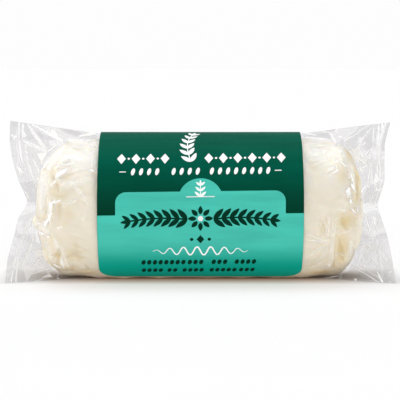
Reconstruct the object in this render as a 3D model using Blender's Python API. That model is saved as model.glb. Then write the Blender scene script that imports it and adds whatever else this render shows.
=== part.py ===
"""Goat cheese log in a clear film bag, with a printed label wrapped round its middle.

The log lies along X on the floor at z = 0, and its front faces -Y. The bag is one solid: it hugs the
log, and past each rounded end it tapers to a flat upright seal. The label is a thin shell with rounded
corners that runs from low on the front, over the top, to low on the back.
Units are metres, with +Z up. The origin is at the bottom centre of the whole pack.
"""

import math

import bpy
import numpy as np

# The log inside the film
FILM_RADIUS = 0.0198
AXIS_HEIGHT = 0.0194
LABEL_SEAT_RADIUS = 0.0195
CHEESE_SHOULDER_RADIUS = 0.0186
CHEESE_SHOULDER_X = 0.0340
CHEESE_END_DEPTH = {-1: 0.0105, 1: 0.0097}
FILM_LAYER = 0.0001

# The soft underside sags to a flat strip that the log rests on, and past it the loose film lifts
SAG = 0.0004
SAG_REACH = 0.0024
REST_HALF_LENGTH = 0.0340
TAIL_LIFT = 0.0003
TAIL_LIFT_LENGTH = 0.0120

# The label
LABEL_HALF_WIDTH = 0.0269
LABEL_GAP = 0.0003
LABEL_THICKNESS = 0.0003
LABEL_CORNER_RADIUS = 0.0050
LABEL_LOW_EDGE = math.radians(-65)
LABEL_ROWS = 68
LABEL_COLUMNS_X = (-1, -0.83, -0.66, -0.44, -0.22, 0, 0.22, 0.44, 0.66, 0.83, 1)

# The printed fields of the label, as distances round the label from the front's middle line and along X
PANEL_TOP = 0.0056
PANEL_HALF_WIDTH = 0.0222
BAND_TOP = -0.0004

# The film ends: each seal edge runs from its bottom corner to its top corner through these (x, y, z)
SEAL_EDGE = {
    -1: (
        (-0.0515, -0.0155, 0.0003),
        (-0.0517, -0.0075, 0.0056),
        (-0.0510, 0.0018, 0.0109),
        (-0.0499, 0.0022, 0.0156),
        (-0.0470, -0.0008, 0.0204),
        (-0.0497, 0.0026, 0.0259),
        (-0.0512, 0.0024, 0.0315),
        (-0.0516, -0.0014, 0.0371),
        (-0.0518, 0.0030, 0.0424),
    ),
    1: (
        (0.0514, -0.0165, 0.0003),
        (0.0514, -0.0080, 0.0055),
        (0.0512, 0.0020, 0.0107),
        (0.0497, 0.0024, 0.0154),
        (0.0482, -0.0006, 0.0198),
        (0.0503, 0.0026, 0.0258),
        (0.0497, -0.0018, 0.0314),
        (0.0500, -0.0012, 0.0369),
        (0.0518, 0.0022, 0.0421),
    ),
}
SEAL_ROUNDING = 0.45
ROOT_X = 0.0285
SEAL_BAND = 0.0035
SEAL_HALF_THICKNESS = 0.00045
CONTACT_SOFTNESS = 0.0018

# Flat facets of the crumpled film, and folds across them, each a straight crease with pointed ends
FACET_SEED = 5
FACET_CELL = (0.0052, 0.0040)
FACET_HEIGHT = 0.0011
FACET_WARP = 0.30
FOLD_SEED = 41
FOLDS_PER_SHEET = 30
FOLD_LENGTH = (0.0035, 0.0095)
FOLD_WIDTH = (0.0020, 0.0036)
FOLD_HEIGHT = (0.0005, 0.0012)
FOLD_LEAN = math.radians(38)
FOLD_REACH = 0.45
FOLD_DEPTH_AT_FULL = 0.0012
FOLD_START = 0.0050
LUMP_SEED = 12
LUMPS_PER_END = 26
LUMP_LENGTH = (0.0030, 0.0080)
LUMP_WIDTH = (0.0020, 0.0045)
LUMP_HEIGHT = (-0.0006, 0.0009)

# Mesh density
RING_POINTS = 92
TAIL_RINGS = 21
BODY_RINGS_X = (-0.0278, -0.0272, -0.0160, 0.0, 0.0160, 0.0272, 0.0278)

CHEESE_CREAM = (0.86, 0.80, 0.66, 1.0)
CLEAR_FILM = (0.90, 0.90, 0.91, 1.0)
LABEL_TEAL = (0.055, 0.52, 0.42, 1.0)
LABEL_GREEN = (0.002, 0.085, 0.055, 1.0)


def clear_scene():
    for old in list(bpy.data.objects):
        bpy.data.objects.remove(old, do_unlink=True)


def material(name, colour, roughness):
    made = bpy.data.materials.new(name)
    made.use_nodes = True
    made.diffuse_color = colour
    shader = made.node_tree.nodes["Principled BSDF"]
    shader.inputs["Base Color"].default_value = colour
    shader.inputs["Roughness"].default_value = roughness
    shader.inputs["Metallic"].default_value = 0.0
    return made


def mesh_object(name, points, faces, materials, face_materials):
    mesh = bpy.data.meshes.new(name)
    mesh.from_pydata([tuple(p) for p in points], [], faces)
    for one in materials:
        mesh.materials.append(one)
    mesh.polygons.foreach_set("material_index", face_materials)
    mesh.shade_smooth()
    mesh.set_sharp_from_angle(angle=math.radians(35))
    mesh.update()
    made = bpy.data.objects.new(name, mesh)
    bpy.context.scene.collection.objects.link(made)
    return made


def smooth_step(value, low, high):
    share = np.clip((value - low) / (high - low), 0.0, 1.0)
    return share * share * (3.0 - 2.0 * share)


def curve_through(knots, share):
    """Points of a slightly rounded line through the knots, at shares of its length in knots from 0 to 1."""
    knots = np.asarray(knots, float)
    padded = np.vstack([2 * knots[0] - knots[1], knots, 2 * knots[-1] - knots[-2]])
    place = np.clip(share, 0.0, 1.0) * (len(knots) - 1)
    first = np.minimum(place.astype(int), len(knots) - 2)
    t = (place - first)[..., None]
    before, start, end, after = (padded[first + k] for k in range(4))
    bend = 2 * before - 5 * start + 4 * end - after
    twist = 3 * (start - end) + after - before
    curved = start + 0.5 * t * (end - before + t * (bend + t * twist))
    return SEAL_ROUNDING * curved + (1 - SEAL_ROUNDING) * (start + t * (end - start))


def random_folds(rng, count, along, around, length, width, height, lean):
    """Rows of (along, around, direction, half length, half width, height), the longest first."""
    rows = np.column_stack(
        [
            rng.uniform(*along, count),
            rng.uniform(*around, count),
            rng.uniform(-lean, lean, count),
            rng.uniform(*length, count),
            rng.uniform(*width, count),
            rng.uniform(*height, count) * rng.choice((-1.0, 1.0), count),
        ]
    )
    return rows[np.argsort(-rows[:, 3])]


def fold_relief(along, around, folds):
    """Height of the folds at places on a sheet: straight creases that narrow to a point at both ends."""
    total = np.zeros_like(along)
    for at_along, at_around, direction, half_length, half_width, height in folds:
        forward = along - at_along
        sideways = around - at_around
        run = forward * math.cos(direction) + sideways * math.sin(direction)
        across = sideways * math.cos(direction) - forward * math.sin(direction)
        taper = np.clip(1.0 - (run / half_length) ** 2, 0.0, 1.0)
        reach = np.maximum(half_width * taper, 1e-6)
        total += height * taper * np.clip(1.0 - np.abs(across) / reach, 0.0, 1.0)
    return total


def facet_relief(along, around, seed):
    """Height of a crumpled sheet: flat triangles between the corners of a warped grid of random heights."""
    corners = np.random.default_rng(seed).uniform(-1.0, 1.0, (24, 24))
    u = along / FACET_CELL[0] + 6.0
    v = around / FACET_CELL[1] + 4.0
    u, v = u + FACET_WARP * np.sin(1.3 * v + seed), v + FACET_WARP * np.sin(1.7 * u + 2 * seed)
    i, j = np.floor(u).astype(int), np.floor(v).astype(int)
    u, v = u - i, v - j
    near, ahead = corners[i, j], corners[i + 1, j]
    aside, far = corners[i, j + 1], corners[i + 1, j + 1]
    low = np.where(u + v < 1, near + u * (ahead - near) + v * (aside - near),
                   far + (1 - u) * (aside - far) + (1 - v) * (ahead - far))
    high = np.where(u > v, near + u * (ahead - near) + v * (far - ahead),
                    near + v * (aside - near) + u * (far - aside))
    return FACET_HEIGHT * np.where((i * 7 + j * 3) % 5 < 3, low, high)


def cheese_half_depth(end, x, z, lumps):
    """How far the cheese reaches from the pack's middle plane at (x, z), below zero outside it."""
    reach = np.abs(x)
    waist = smooth_step(reach, ROOT_X, CHEESE_SHOULDER_X)
    radius = LABEL_SEAT_RADIUS + (CHEESE_SHOULDER_RADIUS - LABEL_SEAT_RADIUS) * waist
    past = np.clip((reach - CHEESE_SHOULDER_X) / CHEESE_END_DEPTH[end], 0.0, 1.0)
    radius = radius * np.sqrt(1.0 - past**2)
    height = z - AXIS_HEIGHT
    inside = (radius + lumps) ** 2 - height**2
    return np.where(inside > 0, np.sqrt(np.maximum(inside, 0)), -2 * np.sqrt(np.maximum(-inside, 0)))


def ring_angles():
    """Angles round the log from straight down, through the front, the top and the back."""
    return -math.pi / 2 + 2 * math.pi * np.arange(RING_POINTS) / RING_POINTS


def body_ring(x):
    """A ring of the bag round the middle of the log, drawn in where the label sits."""
    angles = ring_angles()
    seat = smooth_step(abs(x), LABEL_HALF_WIDTH + 0.0002, LABEL_HALF_WIDTH + 0.0010)
    radius = LABEL_SEAT_RADIUS + (FILM_RADIUS - LABEL_SEAT_RADIUS) * seat
    y = -radius * np.cos(angles)
    z = AXIS_HEIGHT + radius * np.sin(angles)
    return np.column_stack([np.full(RING_POINTS, x), y, z])


def tail_shares():
    """Shares of the way from the log to the seal's edge, closer together near the seal band."""
    even = np.linspace(0.0, 1.0, TAIL_RINGS)
    return even + 0.06 * np.sin(2 * math.pi * even) * (1 - even)


def sheet_relief(end, along, around, front):
    """Relief of the front and the back sheet of one film end, each crumpled in its own way."""
    rng = np.random.default_rng(FOLD_SEED + end)
    relief = np.zeros_like(along)
    for number, sheet in enumerate((front, ~front)):
        folds = random_folds(
            rng, FOLDS_PER_SHEET, (0.001, 0.024), (0.0, math.pi * FILM_RADIUS),
            FOLD_LENGTH, FOLD_WIDTH, FOLD_HEIGHT, FOLD_LEAN,
        )
        crumpled = fold_relief(along, around, folds)
        crumpled += facet_relief(along, around, FACET_SEED + 2 * number + end)
        relief[:, sheet] = crumpled[:, sheet]
    return relief


def cheese_lumps(end, along, around):
    """Lumps and dents of the soft cheese at one end of the log."""
    rng = np.random.default_rng(LUMP_SEED + end)
    lumps = random_folds(
        rng, LUMPS_PER_END, (0.0, 0.018), (0.0, math.pi * FILM_RADIUS),
        LUMP_LENGTH, LUMP_WIDTH, LUMP_HEIGHT, math.pi / 2,
    )
    return fold_relief(along, around, lumps)


def tail_rings(end):
    """Rings of the bag from the label's edge to the seal, as an array of rings by points by xyz."""
    angles = ring_angles()
    front = angles <= math.pi / 2
    side = np.where(front, -1.0, 1.0)
    share_up = np.where(front, angles + math.pi / 2, 3 * math.pi / 2 - angles) / math.pi
    root = body_ring(end * ROOT_X)
    seal = curve_through(SEAL_EDGE[end], share_up)
    share = tail_shares()[:, None]
    rings = root[None] * (1 - share[..., None]) + seal[None] * share[..., None]
    x, z = rings[..., 0], rings[..., 2]

    reach = np.abs(seal[:, 0]) - ROOT_X
    along = share * reach
    around = share_up[None] * math.pi * FILM_RADIUS + 0 * share
    open_share = np.clip(1.0 - along / (reach - SEAL_BAND), 0.0, 1.0)
    half_gap = FILM_RADIUS * np.cos(angles) * -side * open_share
    free = np.minimum(half_gap * FOLD_REACH, FOLD_DEPTH_AT_FULL) / FOLD_DEPTH_AT_FULL
    free = free * smooth_step(along, 0.0, FOLD_START)
    thinnest = SEAL_HALF_THICKNESS * smooth_step(share, 0.0, 0.3)
    half_gap = half_gap + thinnest + free * sheet_relief(end, along, around, front)
    half_gap = np.maximum(half_gap, thinnest)

    middle_y = seal[None, :, 1] * share
    lumps = cheese_lumps(end, along, around) * smooth_step(along, 0.0, FOLD_START)
    cheese = cheese_half_depth(end, x, z, lumps) + FILM_LAYER - side * middle_y
    softness = CONTACT_SOFTNESS * np.abs(np.cos(angles)) * smooth_step(share, 0.0, 0.1)
    softness = softness * (1 - smooth_step(share, 0.75, 0.9))
    half_gap = 0.5 * (half_gap + cheese + np.sqrt((half_gap - cheese) ** 2 + softness**2))
    on_edge = np.abs(np.cos(angles)) < 1e-6
    rings[..., 1] = middle_y + side * np.where(on_edge, 0.0, half_gap)
    return rings


def settled_height(x, z):
    """Height of the bag's skin once its soft underside has settled on the floor."""
    sunk = z - SAG * (1.0 - smooth_step(z, 0.0, SAG_REACH))
    lift = TAIL_LIFT * smooth_step(np.abs(x), REST_HALF_LENGTH, REST_HALF_LENGTH + TAIL_LIFT_LENGTH)
    return np.maximum(sunk, lift)


def film_bag(cream, film):
    """The bag with the log in it: rings joined into one closed skin, with each seal edge closed flat."""
    left = tail_rings(-1)[::-1]
    middle = np.array([body_ring(x) for x in BODY_RINGS_X])
    right = tail_rings(1)
    rings = np.concatenate([left, middle, right])
    rings[..., 2] = settled_height(rings[..., 0], rings[..., 2])
    count = len(rings)
    points = rings.reshape(-1, 3)

    faces = []
    slots = []
    tail_span = TAIL_RINGS // 2
    for ring in range(count - 1):
        in_tail = ring < tail_span or ring >= count - 1 - tail_span
        for i in range(RING_POINTS):
            j = (i + 1) % RING_POINTS
            low, high = ring * RING_POINTS, (ring + 1) * RING_POINTS
            faces.append((low + i, high + i, high + j, low + j))
            slots.append(1 if in_tail else 0)
    half = RING_POINTS // 2
    for ring, flip in ((0, False), (count - 1, True)):
        low = ring * RING_POINTS
        for i in range(half):
            front = (low + i, low + i + 1)
            back = (low + (RING_POINTS - i - 1) % RING_POINTS, low + (RING_POINTS - i) % RING_POINTS)
            corners = list(dict.fromkeys(front + back))
            faces.append(tuple(reversed(corners)) if flip else tuple(corners))
            slots.append(1)
    return mesh_object("film_bag", points, faces, (cream, film), slots)


def label_edge_inset(along):
    """How far a corner's rounding draws the label's side in, at a distance from its lower edge."""
    short = np.clip(LABEL_CORNER_RADIUS - along, 0.0, LABEL_CORNER_RADIUS)
    return LABEL_CORNER_RADIUS - np.sqrt(LABEL_CORNER_RADIUS**2 - short**2)


def label(teal, green):
    """A thin shell round the log, with rounded corners at its two lower edges."""
    inner_radius = LABEL_SEAT_RADIUS + LABEL_GAP
    outer_radius = inner_radius + LABEL_THICKNESS
    high_edge = math.pi - LABEL_LOW_EDGE
    even = np.linspace(0.0, 1.0, LABEL_ROWS)
    turns = even - 0.08 * np.sin(2 * math.pi * even)
    angles = LABEL_LOW_EDGE + (high_edge - LABEL_LOW_EDGE) * turns
    edge_distance = np.minimum(angles - LABEL_LOW_EDGE, high_edge - angles) * outer_radius
    half_width = LABEL_HALF_WIDTH - label_edge_inset(edge_distance) * 0.999
    columns = len(LABEL_COLUMNS_X)
    points = []
    for radius in (outer_radius, inner_radius):
        for angle, wide in zip(angles, half_width):
            for column in LABEL_COLUMNS_X:
                y = -radius * math.cos(angle)
                z = AXIS_HEIGHT + radius * math.sin(angle)
                points.append((column * wide, y, z))

    layer = LABEL_ROWS * columns
    faces = []
    slots = []
    for row in range(LABEL_ROWS - 1):
        middle = 0.5 * (angles[row] + angles[row + 1]) * outer_radius
        for column in range(columns - 1):
            a = row * columns + column
            b = a + columns
            x = 0.5 * (LABEL_COLUMNS_X[column] + LABEL_COLUMNS_X[column + 1]) * LABEL_HALF_WIDTH
            top = PANEL_TOP if abs(x) < PANEL_HALF_WIDTH else BAND_TOP
            slot = 1 if middle > top else 0
            faces.append((a, a + 1, b + 1, b))
            faces.append((layer + a, layer + b, layer + b + 1, layer + a + 1))
            slots += [slot, slot]
    for row in range(LABEL_ROWS - 1):
        for column, flip in ((0, False), (columns - 1, True)):
            a = row * columns + column
            b = a + columns
            side = (a, b, layer + b, layer + a)
            faces.append(tuple(reversed(side)) if flip else side)
            slots.append(0)
    for column in range(columns - 1):
        for row, flip in ((0, True), (LABEL_ROWS - 1, False)):
            a = row * columns + column
            end = (a, a + 1, layer + a + 1, layer + a)
            faces.append(tuple(reversed(end)) if flip else end)
            slots.append(0)
    return mesh_object("label", points, faces, (teal, green), slots)


def settle(pieces):
    """Moves the pack so that the middle of its outer box stands over the origin."""
    corners = np.array([tuple(v.co) for piece in pieces for v in piece.data.vertices])
    middle = 0.5 * (corners.min(0) + corners.max(0))
    for piece in pieces:
        for vertex in piece.data.vertices:
            vertex.co.x -= middle[0]
            vertex.co.y -= middle[1]


def build():
    clear_scene()
    cream = material("cheese_cream", CHEESE_CREAM, 0.35)
    film = material("clear_film", CLEAR_FILM, 0.15)
    teal = material("label_teal", LABEL_TEAL, 0.35)
    green = material("label_green", LABEL_GREEN, 0.35)
    settle([film_bag(cream, film), label(teal, green)])


build()
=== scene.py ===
"""A goat cheese log in a clear, crumpled film bag with a printed wrap label, on a white studio floor.

The log lies along X on the floor at z = 0, and its label's front panel faces -Y. Units are metres.
"""

import math

import bmesh
import bpy
import numpy as np
from bpy.props import FloatProperty, FloatVectorProperty, PointerProperty
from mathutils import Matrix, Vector
from mathutils.geometry import delaunay_2d_cdt


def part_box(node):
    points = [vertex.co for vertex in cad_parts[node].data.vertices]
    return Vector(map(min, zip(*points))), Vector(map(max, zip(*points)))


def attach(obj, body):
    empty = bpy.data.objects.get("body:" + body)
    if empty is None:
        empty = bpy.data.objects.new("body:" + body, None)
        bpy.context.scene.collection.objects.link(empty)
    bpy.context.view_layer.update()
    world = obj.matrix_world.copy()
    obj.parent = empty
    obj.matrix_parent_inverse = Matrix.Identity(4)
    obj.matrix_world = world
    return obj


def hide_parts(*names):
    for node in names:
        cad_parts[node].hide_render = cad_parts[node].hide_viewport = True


bl_info = {
    "name": "Goat cheese log in a film bag",
    "version": (1, 0, 0),
    "blender": (4, 5, 0),
    "location": "3D View > Sidebar > Cheese pack",
    "description": "Builds a wrapped log of fresh goat cheese, its film, its label and a small studio",
    "category": "Add Mesh",
}

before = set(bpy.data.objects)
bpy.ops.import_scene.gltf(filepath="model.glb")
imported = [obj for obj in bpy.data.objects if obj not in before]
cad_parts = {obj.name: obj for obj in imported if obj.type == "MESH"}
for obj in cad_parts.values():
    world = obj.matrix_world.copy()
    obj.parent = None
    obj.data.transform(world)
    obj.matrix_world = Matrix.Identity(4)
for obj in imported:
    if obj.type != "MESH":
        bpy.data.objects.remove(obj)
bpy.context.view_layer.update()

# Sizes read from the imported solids
LABEL_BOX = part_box("label")
LABEL_RADIUS = (LABEL_BOX[1].y - LABEL_BOX[0].y) / 2
LABEL_HALF_WIDTH = (LABEL_BOX[1].x - LABEL_BOX[0].x) / 2
AXIS_HEIGHT = LABEL_BOX[1].z - LABEL_RADIUS

# The log, the film and the label, as in the solids. The spread is how much deeper than high the log is.
LABEL_LOW_EDGE = math.radians(-65)
LABEL_CORNER = 0.0050
FILM_RADIUS = 0.0198
SEAT_RADIUS = 0.0190
SHOULDER_RADIUS = 0.0184
SHOULDER_X = 0.0340
END_DEPTH = {-1: 0.0105, 1: 0.0095}
END_SQUARENESS = 2.5
CHEESE_SINK = 0.0007
CHEESE_AXIS = AXIS_HEIGHT - CHEESE_SINK
CHEESE_SPREAD = 1.03
OUTSIDE_STEEPNESS = 2
ROOT_X = 0.0285
WAIST_X = ROOT_X - 0.002
SEAL_EDGE = {
    -1: (
        (-0.0515, -0.0155, 0.0003), (-0.0517, -0.0075, 0.0056), (-0.0510, 0.0018, 0.0109),
        (-0.0499, 0.0022, 0.0156), (-0.0470, -0.0008, 0.0204), (-0.0497, 0.0026, 0.0259),
        (-0.0512, 0.0024, 0.0315), (-0.0516, -0.0014, 0.0371), (-0.0518, 0.0030, 0.0424),
    ),
    1: (
        (0.0514, -0.0165, 0.0003), (0.0514, -0.0080, 0.0055), (0.0512, 0.0020, 0.0107),
        (0.0497, 0.0024, 0.0154), (0.0482, -0.0006, 0.0198), (0.0503, 0.0026, 0.0258),
        (0.0497, -0.0018, 0.0314), (0.0500, -0.0012, 0.0369), (0.0518, 0.0022, 0.0421),
    ),
}
SEAL_ROUNDING = 0.45
SEAL_BAND = 0.0035

# Long creases of the film ends, in millimetres: from (x, z) to (x, z), how wide and how high
CREASES = {
    -1: (
        (-47.3, 41.5, -41.3, 34.1, 0.9, 0.5), (-46.7, 41.4, -37.0, 37.1, 0.6, 0.4),
        (-48.2, 36.9, -41.8, 34.2, 0.7, 0.45), (-46.6, 38.1, -42.2, 34.2, 0.4, 0.25),
        (-41.5, 33.8, -44.1, 30.9, 0.9, 0.5), (-45.7, 32.0, -43.6, 27.2, 0.4, 0.3),
        (-47.5, 32.7, -46.1, 25.8, 0.5, 0.3), (-46.0, 25.0, -42.8, 27.3, 0.35, 0.25),
        (-38.8, 35.7, -43.7, 28.1, 0.5, -0.35), (-38.4, 35.3, -43.2, 28.0, 0.3, 0.25),
        (-41.2, 40.2, -38.3, 38.3, 0.6, 0.3), (-45.7, 11.4, -47.9, 3.6, 0.7, 0.5),
        (-46.6, 16.6, -48.4, 12.1, 0.5, 0.35), (-45.4, 18.2, -49.2, 16.2, 0.4, -0.3),
        (-47.5, 3.4, -43.1, 3.3, 0.4, 0.3), (-42.8, 6.2, -45.4, 3.5, 0.5, 0.35),
        (-49.1, -1.2, -44.8, 2.6, 0.6, -0.3), (-46.7, -1.4, -40.5, 1.1, 0.8, 0.4),
        (-45.2, 18.7, -43.5, 23.6, 0.5, 0.3), (-45.6, 17.7, -46.5, 11.1, 0.4, 0.25),
    ),
    1: (
        (47.1, 41.2, 42.8, 35.3, 0.5, 0.4), (45.9, 41.3, 39.2, 37.4, 0.5, 0.3),
        (42.3, 34.8, 45.5, 30.5, 0.9, 0.5), (40.6, 34.0, 45.6, 30.3, 0.5, 0.4),
        (48.7, 41.5, 47.1, 32.2, 0.6, 0.4), (47.5, 41.3, 46.4, 32.9, 0.5, -0.35),
        (46.3, 34.8, 44.6, 32.9, 0.4, 0.3), (49.6, 34.0, 47.5, 32.1, 0.4, 0.3),
        (47.9, 28.5, 48.5, 23.4, 1.0, 0.5), (45.9, 29.6, 45.9, 23.4, 0.5, 0.35),
        (47.3, 23.0, 50.4, 23.8, 0.8, 0.4), (46.0, 18.3, 48.1, 19.3, 0.5, 0.4),
        (47.8, 16.4, 48.3, 13.3, 1.2, 0.5), (41.3, 12.4, 47.2, 9.5, 0.35, 0.5),
        (47.8, 9.4, 43.4, 13.6, 0.5, 0.3), (47.8, 9.4, 45.3, 15.2, 0.4, -0.3),
        (47.4, 9.0, 43.4, 3.9, 0.9, 0.5), (47.9, 9.0, 47.4, 3.5, 0.7, 0.4),
        (48.1, 9.0, 48.6, -1.1, 0.6, -0.35), (48.3, 9.2, 50.6, 4.1, 0.8, 0.35),
        (39.8, 3.9, 48.7, -1.2, 0.7, 0.4), (41.1, 4.3, 44.1, 4.1, 0.4, 0.3),
        (50.0, -1.4, 48.7, 7.3, 0.5, 0.3),
    ),
}
# Painted highlights of the film, as white streaks, in millimetres: from (x, z) to (x, z), half width and
# whiteness
SHINES = {
    -1: (
        (-47.1, 41.7, -41.5, 34.2, 0.43, 1.0), (-46.2, 41.6, -40.1, 38.7, 0.36, 0.9),
        (-41.7, 39.5, -36.6, 37.1, 0.43, 1.0), (-48.1, 37.1, -41.7, 34.1, 0.56, 0.8),
        (-47.5, 33.6, -46.3, 26.0, 0.43, 0.5), (-45.7, 32.1, -43.7, 27.5, 0.33, 1.0),
        (-41.3, 34.2, -38.3, 36.5, 0.23, 0.9), (-43.4, 30.4, -41.4, 32.1, 0.23, 0.7),
        (-46.0, 25.2, -43.4, 27.4, 0.33, 1.0), (-44.9, 28.1, -44.3, 26.8, 0.2, 0.7),
        (-40.7, 40.1, -38.5, 38.6, 0.36, 0.9), (-48.3, 41.9, -48.2, 37.2, 0.26, 0.9),
        (-49.2, 41.9, -49.0, 37.5, 0.15, 0.7), (-47.8, 23.1, -46.5, 21.2, 0.3, 0.9),
        (-48.3, 24.0, -47.0, 22.1, 0.16, 0.7), (-46.2, 24.3, -44.7, 21.5, 0.16, 0.6),
        (-42.6, 29.4, -40.0, 32.5, 0.29, 0.8), (-42.2, 28.0, -43.5, 21.6, 0.55, 0.35),
        (-40.6, 29.8, -36.4, 35.9, 0.96, 0.45), (-35.3, 33.4, -30.5, 32.8, 0.42, 0.75),
        (-38.3, 30.9, -32.6, 32.0, 0.32, 0.7), (-29.0, 30.3, -27.8, 29.9, 0.22, 1.0),
        (-34.4, 27.3, -32.7, 26.6, 0.22, 0.8), (-32.8, 26.4, -30.6, 24.2, 0.13, 0.7),
        (-35.8, 37.7, -31.0, 37.0, 0.48, 0.55), (-32.9, 38.5, -26.7, 39.6, 0.35, 0.8),
        (-39.3, 26.1, -37.4, 27.8, 0.38, 0.6), (-39.6, 21.6, -36.4, 22.4, 0.35, 0.9),
        (-41.3, 15.5, -39.6, 17.6, 0.42, 0.9), (-44.7, 14.2, -43.0, 16.0, 0.2, 0.8),
        (-43.0, 16.1, -41.3, 15.5, 0.2, 0.6), (-44.2, 13.9, -41.2, 12.9, 0.2, 1.0),
        (-40.5, 12.7, -39.6, 12.4, 0.23, 1.0), (-37.5, 15.1, -35.8, 15.8, 0.19, 0.9),
        (-39.3, 5.0, -36.9, 3.7, 0.29, 0.9), (-36.9, 6.9, -36.2, 3.5, 0.42, 0.55),
        (-38.0, 12.2, -37.4, 9.6, 0.42, 0.5), (-45.3, 11.7, -47.9, 4.0, 0.33, 1.0),
        (-45.4, 16.8, -48.2, 12.5, 0.33, 0.8), (-46.2, 15.2, -47.2, 12.2, 0.2, 0.6),
        (-49.3, 16.6, -45.4, 18.1, 0.15, 0.8), (-50.2, 11.0, -47.7, 12.7, 0.16, 0.7),
        (-48.7, 11.9, -50.2, 2.8, 0.43, 0.45), (-49.3, 10.4, -49.7, 5.9, 0.26, 0.5),
        (-47.5, 3.6, -44.7, 3.7, 0.16, 0.9), (-45.1, 3.8, -43.8, 6.2, 0.23, 1.0),
        (-43.9, 6.2, -42.5, 6.5, 0.2, 0.9), (-52.6, 2.9, -51.5, 1.9, 0.16, 0.7),
        (-51.5, 1.9, -49.7, 2.9, 0.13, 0.7), (-50.0, 3.4, -50.1, -1.2, 0.23, 0.7),
        (-45.5, 1.8, -40.1, 3.2, 0.23, 0.6), (-49.0, -1.1, -41.7, 0.6, 0.23, 0.5),
        (-47.8, 21.5, -46.3, 19.3, 0.26, 0.8),
    ),
    1: (
        (38.5, 37.0, 40.7, 38.4, 0.2, 0.9), (40.7, 38.4, 46.6, 41.5, 0.15, 0.6),
        (46.5, 40.8, 42.7, 35.5, 0.26, 1.0), (48.7, 41.6, 47.3, 33.4, 0.4, 0.9),
        (49.6, 41.9, 49.3, 39.2, 0.33, 0.9), (47.2, 41.8, 46.4, 33.2, 0.16, 0.8),
        (46.3, 35.1, 44.5, 33.3, 0.2, 0.9), (44.5, 33.4, 45.9, 32.1, 0.2, 0.9),
        (39.6, 36.2, 45.2, 30.7, 0.2, 0.8), (42.5, 35.4, 45.2, 31.1, 0.36, 1.0),
        (41.3, 33.4, 45.2, 30.6, 0.26, 0.9), (45.5, 30.5, 43.7, 29.7, 0.23, 1.0),
        (46.0, 29.6, 45.8, 23.8, 0.23, 0.9), (47.6, 32.4, 49.6, 34.3, 0.16, 0.8),
        (49.3, 31.6, 49.8, 26.9, 0.2, 0.5), (34.9, 39.4, 36.3, 37.0, 0.26, 0.9),
        (37.2, 40.8, 36.5, 39.3, 0.16, 0.7), (37.0, 38.5, 38.9, 37.9, 0.23, 0.6),
        (43.6, 35.8, 45.0, 36.7, 0.23, 0.8), (32.4, 39.5, 34.7, 39.5, 0.2, 0.5),
        (36.5, 32.8, 38.3, 30.9, 0.21, 0.9), (38.9, 29.7, 39.2, 27.2, 0.16, 0.9),
        (39.5, 29.5, 40.5, 25.6, 0.23, 1.0), (39.4, 26.8, 41.0, 24.0, 0.39, 1.0),
        (43.1, 30.0, 43.9, 28.5, 0.29, 0.9), (43.4, 28.2, 42.3, 25.5, 0.16, 0.8),
        (41.3, 31.6, 42.1, 30.2, 0.2, 0.7), (40.5, 34.1, 43.1, 31.3, 0.33, 0.8),
        (43.2, 23.3, 42.5, 21.6, 0.23, 0.6), (27.2, 38.4, 34.6, 37.7, 0.32, 0.6),
        (26.6, 39.7, 31.5, 38.6, 0.19, 0.7), (27.8, 34.3, 33.0, 34.3, 0.42, 0.4),
        (33.1, 29.8, 35.9, 31.2, 0.16, 0.7), (39.2, 22.6, 39.4, 21.7, 0.42, 1.0),
        (39.2, 20.4, 41.0, 18.6, 0.21, 1.0), (41.3, 20.9, 41.4, 18.6, 0.16, 0.9),
        (40.3, 18.6, 40.6, 18.1, 0.16, 0.9), (40.8, 17.6, 41.4, 14.8, 0.13, 0.6),
        (39.5, 11.7, 39.6, 6.6, 0.23, 0.4), (35.7, 13.8, 39.0, 14.2, 0.16, 0.5),
        (33.9, 5.3, 34.3, 4.2, 0.22, 0.7), (32.8, 12.5, 33.8, 11.8, 0.22, 0.6),
        (27.8, 12.2, 33.4, 11.5, 0.22, 0.5), (28.2, 13.5, 33.3, 11.6, 0.16, 0.5),
        (35.2, 7.4, 36.2, 8.2, 0.19, 0.6), (41.3, 12.6, 47.2, 9.7, 0.23, 1.0),
        (48.6, 8.7, 50.1, 4.9, 0.43, 0.9), (47.2, 2.7, 48.4, -0.3, 0.3, 1.0),
        (41.2, 0.1, 41.8, 0.6, 0.33, 0.9), (50.1, 0.8, 50.1, -1.2, 0.16, 0.8),
        (43.5, 15.4, 47.3, 9.7, 0.13, 0.6), (45.4, 15.1, 46.1, 13.2, 0.2, 0.6),
        (47.4, 9.6, 42.3, 7.5, 0.13, 0.6), (47.4, 9.6, 43.4, 4.4, 0.23, 0.9),
        (48.2, 8.4, 48.3, 1.1, 0.16, 0.6), (49.1, 10.2, 51.1, 9.6, 0.2, 0.5),
        (39.9, 4.1, 48.4, -0.4, 0.2, 0.7), (42.8, 3.8, 48.7, 0.5, 0.16, 0.6),
        (44.5, 16.8, 46.3, 18.7, 0.2, 0.6), (38.2, 2.4, 39.8, 3.4, 0.2, 0.8),
        (32.8, -0.1, 37.2, 1.0, 0.2, 0.5), (50.4, 2.9, 50.5, 2.7, 0.23, 0.9),
    ),
}
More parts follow.
